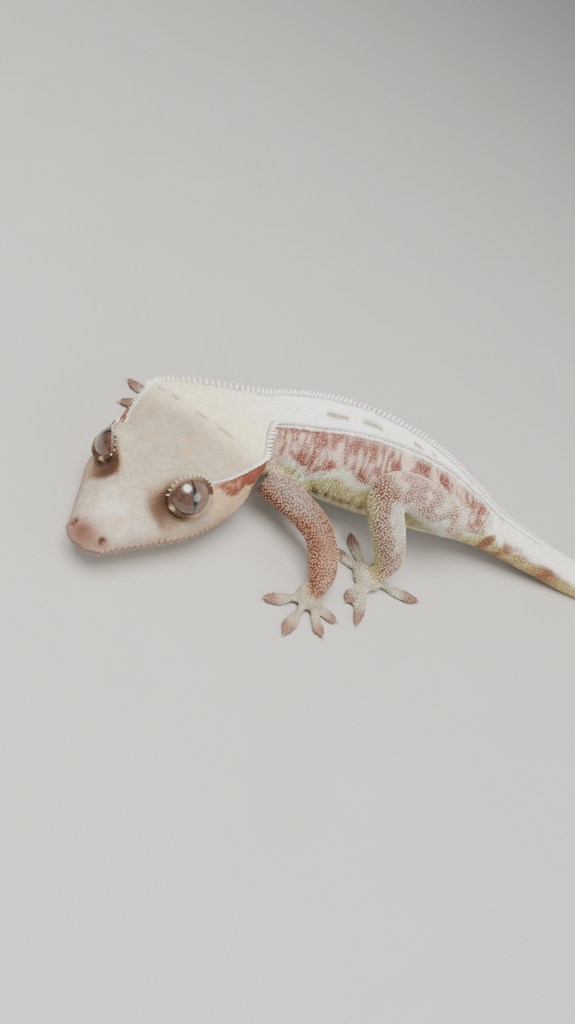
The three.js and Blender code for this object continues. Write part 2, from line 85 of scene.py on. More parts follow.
# Head sections from the crown's back to the snout: x, crown, droop, jaw, top, bottom, widest line's height
HEAD = np.array([
    (0.0, 13.4, 1.0, 11.6, 0.3, -10.6, -6.6),
    (4.0, 12.9, 1.4, 12.9, 0.9, -11.8, -7.4),
    (9.0, 11.6, 1.8, 12.9, 1.2, -12.2, -7.8),
    (14.0, 9.2, 1.5, 12.0, 1.1, -12.0, -7.8),
    (18.0, 7.2, 0.8, 10.8, 0.5, -11.5, -7.6),
    (22.0, 5.2, 0.2, 8.7, -0.8, -10.9, -7.4),
    (26.0, 4.2, 0.0, 6.6, -2.2, -10.0, -7.0),
    (30.0, 3.2, 0.0, 4.5, -3.5, -8.9, -6.6),
    (32.4, 2.4, 0.0, 3.4, -4.5, -8.0, -6.4),
    (33.6, 1.1, 0.0, 1.4, -5.6, -7.0, -6.3),
])
HEAD_LENGTH = HEAD[-1, 0]
HEAD_PLACE = np.array([31.36, 1.59, 14.96])
HEAD_TURNS = [radians(56.0), radians(3.5), radians(8.5)]  # yaw, pitch, roll
EYE_RADIUS = 4.0
EYE_PLACE = np.array([16.0, 6.8, -2.4])
EYE_AXIS = np.array([0.46, 0.66, 0.6])
EYE_TURN = radians(21)  # how far the front corner of the lids is raised
LID_OPENING = (58, 48)  # half angles of the opening between the lids, along it and across it, in degrees
RIGHT_LID = 27  # the one above the right eye's middle, whose upper lid hangs lower
LID_RIM = 0.36  # height of the lids' rim over the eyeball
LID_COVER = radians(97)  # how far from the eye's axis the skin covers the eyeball
LID_FOLDS = ((1.26, 0.2), (1.46, 0.26), (1.68, 0.24), (1.92, 0.18), (2.16, 0.11))  # openings' share and depth
CROWN_CORNER = radians(45)  # where a head section's top meets its side
BROW_BACK = 1.3
BROW_RADII = np.array([5.5, 5.0, 4.8])
MOUTH = np.array([(4.5, -8.3), (12.0, -8.9), (22.0, -8.3), (29.0, -7.4), (32.2, -6.9), (33.6, -6.7)])
NOSTRIL = (31.3, -5.1)
EAR = (3.4, -5.6)
EAR_SIZE = (0.75, 1.2, 1.5)
# size of the painted shade round each ear opening
EAR_SHADE = (0.8, 1.2, 1.5)

# Legs: joints outwards, the palm, radii, and the toe tips on the floor from the inner to the outer toe
LEGS = {
    "left_fore": {
        "joints": [(17.5, 6.2, 9.4), (7.4, 15.4, 8.8), (5.0, 22.4, 3.6)],
        "palm": (6.0, 23.6), "radii": (3.3, 2.9, 3.0, 2.3),
        "toes": [(14.7, 25.9), (11.2, 32.4), (3.4, 31.0), (0.2, 26.9), (0.9, 17.9)],
    },
    "right_fore": {
        "joints": [(15.0, -5.5, 9.5), (23.8, -10.6, 5.8), (33.2, -12.6, 3.4)],
        "palm": (35.2, -13.2), "radii": (3.2, 2.4, 2.5, 1.8),
        "toes": [(44.0, -10.2), (42.8, -17.0), (36.4, -19.8), (30.4, -19.4), (28.0, -14.6)],
    },
    "left_hind": {
        "joints": [(-19.5, 5.2, 13.6), (-0.1, 11.5, 20.6), (-8.7, 15.0, 5.6)],
        "palm": (-7.0, 15.5), "radii": (4.8, 3.1, 3.3, 2.5),
        "toes": [(-4.7, 5.1), (-0.9, 9.8), (-2.0, 22.0), (-3.9, 26.6), (-18.6, 17.2)],
    },
    "right_hind": {
        "joints": [(-16.0, -4.5, 12.0), (-4.5, -11.5, 13.0), (-14.0, -12.5, 4.4)],
        "palm": (-15.2, -13.2), "radii": (4.6, 3.0, 3.0, 1.9),
        "toes": [(-6.6, -9.6), (-7.2, -16.4), (-12.2, -21.6), (-19.0, -20.6), (-23.6, -13.6)],
    },
}
PALM_SIZE = {"fore": 2.7, "hind": 3.1}
PALM_HEIGHT = 2.0
BEND = 1 / 3  # how far along a limb its elbow or knee lies
FORELEGS = (0, 1)  # their numbers in LEGS

# Half width, half height and height of the middle, from a toe's palm to its tip
TOE_WIDE = [1.3, 0.95, 0.85, 1.15, 1.45, 1.35, 0.7]
TOE_TALL = [1.1, 0.85, 0.75, 0.65, 0.6, 0.55, 0.3]
TOE_HIGH = [1.3, 1.35, 1.15, 0.75, 0.6, 0.55, 0.75]

# The coat: its zones' scales' heights over their radii, and the scales in one piece
HEIGHT_OF = {"head": 0.27, "trunk": 0.42, "tail": 0.34, "limbs": 0.52, "feet": 0.4}
MOST_SCALES = 8500
PATCH = 0.0015  # half width of a scale's patch on the unwrap

# The photograph's camera in the body's own millimetres, and the picture it fills
CAMERA_PLACE = np.array([72.8, 114.7, 115.3])
CAMERA_TURNS = [radians(42), radians(30), radians(38)]  # elevation, azimuth, roll
FOCAL_PIXELS = 900
PICTURE = (575, 1024)
SENSOR = 36.0


# Curves and noise

def smooth(low, high, value):
    """0 below low, 1 above high, and 3t2 - 2t3 between."""
    t = np.clip((np.asarray(value, float) - low) / (high - low), 0, 1)
    return t * t * (3 - 2 * t)


def bump(value, middle, width):
    """A bell of height 1 at middle: e to the minus square of the distance in widths."""
    return np.exp(-(((np.asarray(value, float) - middle) / width) ** 2))


def mix(a, b, t):
    return a + (b - a) * t


def along(keys, place):
    """Catmull-Rom values through equally spaced keys, with the end keys carried on straight."""
    keys = np.asarray(keys, float)
    padded = np.concatenate([2 * keys[:1] - keys[1:2], keys, 2 * keys[-1:] - keys[-2:-1]])
    place = np.asarray(place, float)
    index = np.clip(np.floor(place).astype(int), 0, len(keys) - 2)
    t = place - index
    a, b, c, d = (padded[index + k] for k in range(4))
    if keys.ndim > 1:
        t = t[..., None]
    m, n = (c - a) / 2, (d - b) / 2
    return (2 * b - 2 * c + m + n) * t**3 + (3 * c - 3 * b - 2 * m - n) * t**2 + m * t + b


def unit(vectors):
    return vectors / np.maximum(np.linalg.norm(vectors, axis=-1, keepdims=True), 1e-12)


def lattice(cells, seed):
    """A value from 0 to 1 for each whole-numbered cell, the same on every run."""
    mixed = cells[..., 0] * 73856093 ^ cells[..., 1] * 19349663 ^ cells[..., 2] * 83492791 ^ seed * 2654435761
    mixed = (mixed ^ (mixed >> 13)) * 1274126177 & 0x7FFFFFFF
    mixed = (mixed ^ (mixed >> 11)) * 974711 & 0x7FFFFFFF
    return (mixed & 0xFFFFF) / 0xFFFFF


def noise(points, size, seed=0):
    """Smooth value noise from -1 to 1, its cells size millimetres wide: corner values mixed by smoothstep."""
    scaled = np.asarray(points, float) / size + 1000
    cell = np.floor(scaled).astype(np.int64)
    t = scaled - cell
    t = t * t * (3 - 2 * t)
    total = np.zeros(scaled.shape[:-1])
    for corner in np.ndindex(2, 2, 2):
        weight = np.prod(np.where(np.array(corner) == 1, t, 1 - t), axis=-1)
        total += weight * lattice(cell + np.array(corner), seed)
    return total * 2 - 1


def cloud(points, size, seed=0):
    """Three octaves of noise, each half the size and weight of the one before."""
    return sum(noise(points, size / 2**k, seed + k) / 2**k for k in range(3)) / 1.75


def waves(phase):
    """The square of a sine's upper halves."""
    return np.maximum(0, np.sin(phase)) ** 2


def creases(phase):
    """Narrow lines: the cube of 1 - |sin|."""
    return (1 - np.abs(np.sin(phase))) ** 3


def turns(count):
    """Evenly spaced angles of a whole turn, from 0."""
    return np.linspace(0, 2 * np.pi, count, endpoint=False)


def pairs(first, second):
    """Every value of the first with every one of the second, as two grids."""
    return np.meshgrid(first, second, indexing="ij")


def sphere_grid(rows, columns):
    """Polar angles (from the pole) and azimuths of a closed sphere's grid, without its poles."""
    return pairs(np.linspace(0, np.pi, rows + 2)[1:-1], turns(columns))


# The shapes of the animal

def spine_frame(place):
    """Centre, direction to the tail, left and up at places along the spine; left is direction cross up."""
    centre = along(SPINE[:, :3], place)
    ahead = unit(along(SPINE[:, :3], place + 0.01) - along(SPINE[:, :3], place - 0.01))
    left = unit(np.cross(ahead, [0, 0, 1]))
    return centre, ahead, left, np.cross(left, ahead)


def crest_angle(place):
    """How far above the side the crest rows run: from the neck's angle to the hips', eased by smoothstep."""
    return mix(CREST_ANGLE, CREST_ANGLE_REAR, smooth(1.5, 4.6, place))


def body_radius(place, angle):
    """Radius of a rounded oval: (|cos/w|^p + |sin/h|^p)^(-1/p), plus a low ridge along each crest row."""
    wide, up, down = np.moveaxis(along(SPINE[:, 3:], place), -1, 0)
    above = np.sin(angle) >= 0
    power = np.where(above, 2.35, 2.15)
    tall = np.where(above, up, down)
    oval = (np.abs(np.cos(angle) / wide) ** power + np.abs(np.sin(angle) / tall) ** power) ** (-1 / power)
    offset = (np.abs(angle - np.pi / 2) - (np.pi / 2 - crest_angle(place))) / radians(9)
    return oval + 0.35 * (1 - smooth(7.5, 9.5, place)) * np.exp(-offset**2)


def body_point(place, angle, grow=0.0):
    """Spine centre plus the section's radius along cos(angle) left + sin(angle) up."""
    place, angle = np.broadcast_arrays(np.asarray(place, float), np.asarray(angle, float))
    centre, _, left, up = spine_frame(place)
    radius = (body_radius(place, angle) + grow)[..., None]
    return centre + radius * (np.cos(angle)[..., None] * left + np.sin(angle)[..., None] * up)


def head_matrix():
    """The head's turning: yaw about Z, then pitch about Y, then roll about X."""
    turns = [Matrix.Rotation(angle, 3, axis) for angle, axis in zip(HEAD_TURNS, "ZYX")]
    return np.array(turns[0] @ turns[1] @ turns[2])


HEAD_AXES = head_matrix()


def from_head(points):
    return points @ HEAD_AXES.T + HEAD_PLACE


def to_head(points):
    return (points - HEAD_PLACE) @ HEAD_AXES


def eye_centre(side):
    return EYE_PLACE * [1, side, 1]


def eye_axis(side):
    return unit(EYE_AXIS * [1, side, 1])


def eye_axes(side):
    """Where an eye looks, its front corner's direction and the upward one across both."""
    axis = eye_axis(side)
    forward = unit(np.array([1.0, 0, 0]) - axis * axis[0])
    upward = np.cross(axis, forward) * -side
    turned = forward * np.cos(EYE_TURN) + upward * np.sin(EYE_TURN)
    return axis, turned, upward * np.cos(EYE_TURN) - forward * np.sin(EYE_TURN)


def head_point(x, angle):
    """A head section: a superellipse whose half width goes from jaw to crown up its side and whose top droops
    by the square of its share of the width, plus the brow bulges."""
    x, angle = np.broadcast_arrays(np.asarray(x, float), np.asarray(angle, float))
    place = np.interp(x, HEAD[:, 0], np.arange(len(HEAD)))
    crown, droop, jaw, top, bottom, middle = np.moveaxis(along(HEAD[:, 1:], place), -1, 0)
    sine, cosine = np.sin(angle), np.cos(angle)
    power = np.where(sine >= 0, 2 / mix(6, 2.6, smooth(3, 26, x)), 2 / 2.5)
    across = np.sign(cosine) * np.abs(cosine) ** power
    level = np.sign(sine) * np.abs(sine) ** power
    width = mix(jaw, crown, smooth(-0.1, 0.9, level))
    height = np.where(level >= 0, mix(middle, top - droop * across**2, level), mix(middle, bottom, -level))
    point = np.stack([x, across * width, height], -1)
    for side in (-1, 1):
        centre = eye_centre(side) - BROW_BACK * eye_axis(side)
        inside = point - centre
        depth = np.linalg.norm(inside / BROW_RADII, axis=-1, keepdims=True)
        point = np.where(depth < 1, centre + inside / np.maximum(depth, 0.2), point)
    return point


def crest_turned(angle):
    """The body angle that a neck angle runs into, so that the crown's corner meets the crest row."""
    above = np.pi / 2 - np.abs(np.abs(angle) - np.pi / 2)
    low = above / CROWN_CORNER * CREST_ANGLE
    high = mix(CREST_ANGLE, np.pi / 2, (above - CROWN_CORNER) / CROWN_CORNER)
    turned = np.where(above < CROWN_CORNER, low, high)
    return np.where(angle < 0, angle, np.where(angle > np.pi / 2, np.pi - turned, turned))


def neck_point(share, angle):
    """A Hermite curve from the back of the head to the torso, leaving each along its own axis."""
    share, angle = np.broadcast_arrays(np.asarray(share, float), np.asarray(angle, float))
    back = -HEAD_AXES[:, 0]
    start = from_head(head_point(np.full(angle.shape, 0.01), angle) * [0, 1, 1])
    end = body_point(np.full(angle.shape, NECK_END), crest_turned(angle))
    reach = 0.6 * np.linalg.norm(end - start, axis=-1, keepdims=True)
    ahead = spine_frame(np.array(NECK_END))[1]
    t = share[..., None]
    return (start * (2 * t**3 - 3 * t**2 + 1) + back * reach * (t**3 - 2 * t**2 + t)
            + end * (3 * t**2 - 2 * t**3) + ahead * reach * (t**3 - t**2))


def limb_line(leg, t):
    """A centripetal Catmull-Rom line through the joints and the palm, for t from 0 to 1."""
    knots = np.array([*leg["joints"], (*leg["palm"], PALM_HEIGHT)])
    knots = np.concatenate([[2 * knots[0] - knots[1]], knots, [2 * knots[-1] - knots[-2]]])
    place = np.clip(np.asarray(t, float), 0, 1) * (len(knots) - 3)
    index = np.clip(np.floor(place).astype(int), 0, len(knots) - 4)
    w = (place - index)[..., None]
    p0, p1, p2, p3 = (knots[index + k] for k in range(4))
    steps = (p1 - p0, p2 - p1, p3 - p2)
    d0, d1, d2 = (np.linalg.norm(step, axis=-1, keepdims=True) ** 0.5 for step in steps)
    m1 = ((p1 - p0) / d0 - (p2 - p0) / (d0 + d1) + (p2 - p1) / d1) * d1
    m2 = ((p2 - p1) / d1 - (p3 - p1) / (d1 + d2) + (p3 - p2) / d2) * d1
    a, b = 2 * p1 - 2 * p2 + m1 + m2, 3 * p2 - 3 * p1 - 2 * m1 - m2
    return a * w**3 + b * w**2 + m1 * w + p1


def limb_radius(leg, t):
    """Radius along a limb: Catmull-Rom values through its four radii, the last carried on to the palm."""
    r = leg["radii"]
    return along([r[0], mix(r[0], r[1], 0.6), r[1], r[2], r[3], r[3], r[3]], np.asarray(t) * 6)


def limb_frame(leg, t):
    """Centre and two axes across a limb. Its direction is the upper length's before the bend and the lower
    length's after it; the first axis is up less its share along that, the second their cross product."""
    joints = np.array(leg["joints"])
    past = (np.asarray(t) >= BEND)[..., None]
    ahead = np.where(past, unit(joints[2] - joints[1]), unit(joints[1] - joints[0]))
    across = unit(UP - ahead * (ahead @ UP)[..., None])
    return limb_line(leg, t), across, np.cross(ahead, across)


def toe_line(palm, tip, t):
    """Centre, ahead, side, half width and half height along a toe that goes from its palm to its tip."""
    start, end = np.array([*palm, 0.0]), np.array([*tip, 0.0])
    ahead = unit(end - start)
    side = np.array([-ahead[1], ahead[0], 0])
    place = np.asarray(t) * (len(TOE_WIDE) - 1)
    centre = start + (end - start) * np.asarray(t)[..., None]
    centre[..., 2] = along(TOE_HIGH, place)
    return centre, ahead, side, along(TOE_WIDE, place), along(TOE_TALL, place)


# Meshes from arrays

def closed_tube(rings):
    """Vertices and triangles of a closed surface over rings of points, with a fan to the middle of each end."""
    count, sides = rings.shape[:2]
    vertices = np.concatenate([rings.reshape(-1, 3), rings[:1].mean(1), rings[-1:].mean(1)])
    i, j = pairs(np.arange(count - 1), np.arange(sides))
    k = (j + 1) % sides
    a, b, c, d = i * sides + j, i * sides + k, (i + 1) * sides + k, (i + 1) * sides + j
    walls = np.concatenate([np.stack([a, b, c], -1).reshape(-1, 3), np.stack([a, c, d], -1).reshape(-1, 3)])
    j = np.arange(sides)
    k = (j + 1) % sides
    first, last = len(vertices) - 2, len(vertices) - 1
    start = np.stack([np.full(sides, first), k, j], -1)
    end = np.stack([np.full(sides, last), (count - 1) * sides + j, (count - 1) * sides + k], -1)
    faces = np.concatenate([walls, start, end])
    middle = vertices.mean(0)
    corners = vertices[faces] - middle
    volume = np.einsum("ij,ij->", corners[:, 0], np.cross(corners[:, 1], corners[:, 2]))
    return vertices, faces if volume > 0 else faces[:, ::-1]


def joined(parts):
    """One vertex array and one triangle array from several."""
    starts = np.cumsum([0] + [len(v) for v, _ in parts[:-1]])
    return np.concatenate([v for v, _ in parts]), np.concatenate([f + s for (_, f), s in zip(parts, starts)])


def triangle_mesh(name, vertices, faces):
    """A Blender mesh from a vertex array in metres and a triangle array."""
    mesh = bpy.data.meshes.new(name)
    mesh.vertices.add(len(vertices))
    mesh.vertices.foreach_set("co", np.asarray(vertices, np.float32).ravel())
    mesh.loops.add(faces.size)
    mesh.loops.foreach_set("vertex_index", faces.astype(np.int32).ravel())
    mesh.polygons.add(len(faces))
    mesh.polygons.foreach_set("loop_start", np.arange(0, faces.size, 3, dtype=np.int32))
    mesh.update(calc_edges=True)
    mesh.validate()
    return mesh


def placed(name, data):
    """A new object in the scene's own collection."""
    thing = bpy.data.objects.new(name, data)
    bpy.context.scene.collection.objects.link(thing)
    return thing


def piece_from(mesh, material):
    """Links a smooth mesh as an object of the same name that rides on the frame."""
    mesh.polygons.foreach_set("use_smooth", np.full(len(mesh.polygons), True))
    mesh.materials.append(material)
    piece = placed(mesh.name, mesh)
    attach(piece, "root")
    return piece


def tint(mesh, colours):
    """Stores one linear colour for each vertex in the attribute Tint."""
    attribute = mesh.attributes.new("Tint", "FLOAT_COLOR", "POINT")
    rgba = np.concatenate([linear(colours), np.ones((len(colours), 1))], 1)
    attribute.data.foreach_set("color", rgba.astype(np.float32).ravel())


def linear(srgb):
    """sRGB values from 0 to 255 as linear ones from 0 to 1."""
    s = np.clip(np.asarray(srgb, float) / 255, 0, 1)
    return np.where(s <= 0.04045, s / 12.92, ((s + 0.055) / 1.055) ** 2.4)


def read(collection, name, width=3, kind=np.float32):
    values = np.empty(len(collection) * width, kind)
    collection.foreach_get(name, values)
    return values.reshape(-1, width) if width > 1 else values


# From the animal's own millimetres to the frame: the frame's origin is the middle of the underside

def frame_shift():
    """How far the frame's millimetres lie from the animal's own: the left eye's middle in both, without height."""
    low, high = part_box("eye_left")
    middle = (np.array(low) + np.array(high)) / 2 / MM
    return (middle - from_head(eye_centre(1))) * [1, 1, 0]


SHIFT = frame_shift()


def to_frame(points):
    return (points + SHIFT) * MM


def from_frame(points):
    return points / MM - SHIFT


# Where a point of the skin lies

def neck_chart(points, found):
    """On the neck, place and angle are read off the neck's own grid: its share of the way and its turned angle.
    The grid has evenly spaced angles, and arc cosines of cubes, which are even steps across the flat top."""
    across = np.linspace(-1, 1, 60)
    angles = np.concatenate([np.linspace(-np.pi, 0, 50), np.arccos(across**3), np.linspace(0, np.pi, 40)])
    grid_share, grid_angle = pairs(np.linspace(0, 1, 26), angles)
    grid = neck_point(grid_share, grid_angle).reshape(-1, 3)
    near = np.flatnonzero((found["place"] < NECK_END + 0.5) & (found["head"][:, 0] < 0.6))
    for part in np.array_split(near, max(1, len(near) // 1500)):
        gap = np.linalg.norm(points[part][:, None] - grid, axis=-1)
        index = np.argmin(gap, 1)
        share, angle = grid_share.ravel()[index], crest_turned(grid_angle.ravel()[index])
        on_neck = (share < 0.99) & (gap.min(1) < 1.5)
        rows = part[on_neck]
        found["place"][rows] = share[on_neck] * NECK_END
        found["angle"][rows] = np.where(angle < -np.pi / 2, angle + 2 * np.pi, angle)[on_neck]
        found["over_body"][rows] = 0


def nearest_on(points, centre, radius):
    """For each point the nearest of the balls sampled along a line, and the height over it."""
    gap = np.linalg.norm(points[:, None] - centre, axis=-1) - radius
    index = np.argmin(gap, 1)
    return index, gap[np.arange(len(points)), index]


def on_foreleg(found):
    return np.isin(found["limb"], FORELEGS)


def above_side(found):
    """Degrees above the body's side: -90 along the belly's middle, 90 along the back's."""
    return 90 - np.abs(np.degrees(found["angle"]) - 90)


def locate(points):
    """For each point: head coordinates, place and angle about the spine, height over the body's section, and
    the nearest limb and toe with the place along and height over them, each from sampled centrelines."""
    found = {"head": to_head(points)}
    samples = np.linspace(0, SPINE_END, 521)
    centre, ahead, left, up = spine_frame(samples)
    nearest = np.concatenate([
        np.argmin(((chunk[:, None] - centre) ** 2).sum(-1), 1) for chunk in np.array_split(points, 40)])
    arm = points - centre[nearest]
    side, high = (arm * left[nearest]).sum(-1), (arm * up[nearest]).sum(-1)
    step = np.linalg.norm(np.gradient(centre, samples, axis=0), axis=1)[nearest]
    found["place"] = np.clip(samples[nearest] + (arm * ahead[nearest]).sum(-1) / step, -0.5, SPINE_END)
    angle = np.arctan2(high, side)
    found["angle"] = np.where(angle < -np.pi / 2, angle + 2 * np.pi, angle)
    reach = np.hypot(side, high)
    found["over_body"] = reach - body_radius(np.clip(found["place"], 0, SPINE_END), found["angle"])
    neck_chart(points, found)
    for key in ("limb", "limb_place", "limb_angle", "toe", "toe_place"):
        found[key] = np.zeros(len(points))
    best = np.full(len(points), FAR)
    t = np.linspace(0, 1, 61)
    for number, leg in enumerate(LEGS.values()):
        centre, across, side = limb_frame(leg, t)
        index, height = nearest_on(points, centre, limb_radius(leg, t))
        arm = points - centre[index]
        turn = np.arctan2((arm * side[index]).sum(-1), (arm * across[index]).sum(-1))
        closer = height < best
        best = np.where(closer, height, best)
        for key, value in (("limb", number), ("limb_place", t[index]), ("limb_angle", turn)):
            found[key] = np.where(closer, value, found[key])
    found["over_limb"] = best
    best = np.full(len(points), FAR)
    t = np.linspace(0, 1, 25)
    toes = [(leg["palm"], tip) for leg in LEGS.values() for tip in leg["toes"]]
    for number, (palm, tip) in enumerate(toes):
        centre, _, _, wide, _ = toe_line(palm, tip, t)
        index, height = nearest_on(points, centre, wide)
        closer = height < best
        best = np.where(closer, height, best)
        for key, value in (("toe", number), ("toe_place", t[index])):
            found[key] = np.where(closer, value, found[key])
    found["over_toe"] = best
    return found


def regions(points, found):
    """Shares from 0 to 1 of head, limb, foot and tail at each point; what is left is neck and torso."""
    head = found["head"]
    in_box = (np.abs(head[:, 1]) < 15) & (head[:, 2] > -13.4) & (head[:, 2] < 4)
    share = {"head": np.where(in_box, smooth(-0.6, 0.4, head[:, 0]), 0)}
    free = 1 - share["head"]
    limb = smooth(0.1, 1.3, found["over_body"]) * (found["over_limb"] < 1.6) * free
    low = 1 - smooth(2.6, 4.0, points[:, 2])
    away = (found["over_body"] > 1.5) | (found["place"] < 1)
    foot = low * away * ((found["over_toe"] < 2.2) | (found["limb_place"] > 0.85)) * free
    share["foot"] = foot
    share["limb"] = np.where(foot > 0.01, limb * (1 - foot), limb)
    past = smooth(TORSO_END - 0.2, TORSO_END + 0.3, found["place"])
    share["tail"] = past * (1 - share["limb"]) * (1 - foot)
    return share


def eye_polar(head, side):
    """For head points: distance from an eye's middle, and the angle from its axis split into ahead and up."""
    axis, forward, upward = eye_axes(side)
    arm = head - eye_centre(side)
    ahead, above = arm @ forward, arm @ upward
    flat = np.maximum(np.hypot(ahead, above), 1e-9)
    polar = np.arctan2(flat, arm @ axis)
    return np.linalg.norm(arm, axis=-1), polar * ahead / flat, polar * above / flat


# Colours

COLOURS = {
    "crown": (182, 166, 140), "cape": (240, 229, 192), "centre": (166, 154, 138), "snout": (182, 171, 152),
    # the dark nostril colour is painted shade, laid in the nostril and ear pits
    "snow": (214, 208, 194), "brown": (66, 37, 20), "nose": (100, 60, 44), "nostril": (76, 36, 28),
    "lip": (138, 107, 92), "throat": (224, 204, 172), "cheek": (118, 58, 40), "cheek_spot": (196, 166, 128),
    "streak": (132, 120, 84), "back": (253, 252, 244), "fleck": (188, 182, 150), "flank": (136, 74, 62),
    "granule": (226, 206, 184), "scallop": (210, 207, 184), "yellow": (188, 178, 116),
    "belly": (222, 208, 174), "crest_shade": (108, 42, 38), "tail_top": (246, 242, 228),
    "tail_side": (196, 176, 116), "blotch": (130, 76, 50),
    "arm": (124, 66, 46), "arm_dot": (192, 170, 142), "shoulder": (166, 136, 126), "arm_inside": (150, 98, 66),
    "stripe": (190, 180, 126), "maroon": (130, 78, 68), "mint": (204, 206, 188), "thigh": (224, 206, 188),
    "ankle": (186, 166, 98), "foot": (164, 155, 130), "pad": (126, 86, 72), "hind_foot": (188, 183, 164),
}


def shade(name, count):
    return np.tile(np.array(COLOURS[name], float), (count, 1))


def over(base, name, weight):
    """The base colour with a named colour laid over it by weight."""
    return mix(base, np.array(COLOURS[name], float), np.clip(weight, 0, 1)[:, None])


def broken(values, size, seed):
    """Noise along one line only, which breaks a stripe into dashes."""
    return noise(np.stack([values, 0 * values, 0 * values], -1), size, seed)


def head_colours(points, head):
    """Greige crown, cream towards its rear edge with a broken olive line before it, paler snout, brown round the
    front of the eyes, red-brown under the crown's edge over a marbled cheek, pink lips, cream throat, and painted
    shade in the nostril and ear pits."""
    x, y, z = head.T
    wavy = cloud(points, 5, 11)
    colour = shade("crown", len(points))
    colour = over(colour, "centre", 0.9 * bump(np.hypot((x - 12) / 1.3, y), 0, 6) * (0.7 + 0.5 * wavy))
    colour = over(colour, "cape", 0.9 * (1 - smooth(-1, 7, x + 1.5 * wavy)) * smooth(-4, -1.5, z))
    dash = smooth(-0.15, 0.2, broken(y, 1.7, 13))
    line = bump(x + 0.8 * cloud(points, 3.5, 15) + 0.006 * y * y, 1.5, 0.42) * dash * (np.abs(y) < 11)
    colour = over(colour, "streak", 0.6 * line * smooth(-4, -2, z))
    colour = over(colour, "snout", 0.75 * smooth(19, 25, x))
    colour = over(colour, "crown", 0.5 * smooth(0.2, 0.6, cloud(points, 2.6, 14)) * smooth(8, 14, x))
    snow = 0.75 * bump(x, 27.5, 3.2) * smooth(-0.5, 0.5, cloud(points, 2.2, 17)) * smooth(-8, -6, z)
    colour = over(colour, "snow", snow)
    colour = over(colour, "cheek_spot", 0.4 * smooth(0.1, 0.5, cloud(points, 3.2, 18)) * smooth(4, 9, x))
    veins = 1 - smooth(0.0, 0.1, np.abs(cloud(points, 4.2, 19)))
    colour = over(colour, "cheek", 0.1 * veins * smooth(3, 8, x))
    edge = crown_edge(x) + 0.25 * wavy
    under = (1 - smooth(edge - 0.5, edge - 0.05, z)) * (1 - smooth(12.5, 14.5, x))
    marble = smooth(0.0, 0.3, cloud(points, 2.4, 12) + 0.6 * smooth(edge - 4.6, edge - 2.2, z) - 0.25)
    colour = over(colour, "cheek_spot", under)
    pale_cells = smooth(0.1, 0.5, cloud(points, 1.1, 16))
    colour = over(colour, "cheek", 0.95 * under * marble * (1 - 0.45 * pale_cells))
    for side in (-1, 1):
        reach, forward, upward = eye_polar(head, side)
        _, opening = eye_opening(head, side)
        near = (y * side > 0) & (reach < 9.5)
        turn = np.arctan2(upward, forward)
        front = bump(turn, -0.45, 1.05)
        both_corners = np.maximum(front, bump(turn, 3.0, 0.9))
        rim = (1 - smooth(1.12, 1.3, opening + 0.06 * wavy)) * (0.35 + 0.65 * both_corners)
        patch = np.minimum(1.6 * front, 1) * (1 - smooth(1.35, 1.75, opening + 0.2 * wavy))
        patch = patch * (1 - smooth(6.2, 8, reach))
        colour = over(colour, "brown", near * np.maximum(0.95 * patch, 0.92 * rim))
        spot = bump(np.hypot(forward - 0.98, upward + 0.42), 0, 0.14)
        colour = over(colour, "belly", near * spot)
    nose = bump(np.hypot((x - 32.3) / 1.5, y / 2.1), 0, 1.4) * smooth(-6.8, -5.4, z)
    colour = over(colour, "nose", nose * (1.0 + 0.6 * wavy))
    lip_height = lip_line(x)
    lip = bump(z, lip_height + 0.3, 1.6) * smooth(6, 12, x)
    colour = over(colour, "lip", 0.8 * lip)
    colour = over(colour, "throat", smooth(lip_height - 0.9, lip_height - 2.2, z))
    # painted shade in the nostril and ear pits
    for side in (-1, 1):
        colour = over(colour, "nostril", bump(nostril_reach(head, side), 0, 0.7))
        colour = over(colour, "nostril", 0.7 * bump(ear_reach(head, side, EAR_SHADE), 0, 0.8))
    return colour


def crown_edge(x):
    """Height of the crown's edge along the head, from the section's own corner."""
    length = np.linspace(0, HEAD_LENGTH, 80)
    return np.interp(x, length, head_point(length, np.full(80, CROWN_CORNER))[:, 2])


def surface_at(x, z, side):
    """The point of the head's surface at a length and height, from a fine fan of its section."""
    fan = head_point(np.full(400, float(x)), np.linspace(-np.pi / 2, np.pi / 2, 400))
    point = fan[np.argmin(np.abs(fan[:, 2] - z) + (fan[:, 1] < 0.2) * 9)]
    return point * [1, side, 1]


def nostril_reach(head, side):
    return np.linalg.norm(head - surface_at(*NOSTRIL, side), axis=-1)


def ear_reach(head, side, size=EAR_SIZE):
    """Distance from an ear opening, in units of its size."""
    return np.linalg.norm((head - surface_at(*EAR, side)) / size, axis=-1)


def lip_line(x):
    """Height of the mouth's line along the head."""
    return np.interp(x, MOUTH[:, 0], MOUTH[:, 1])


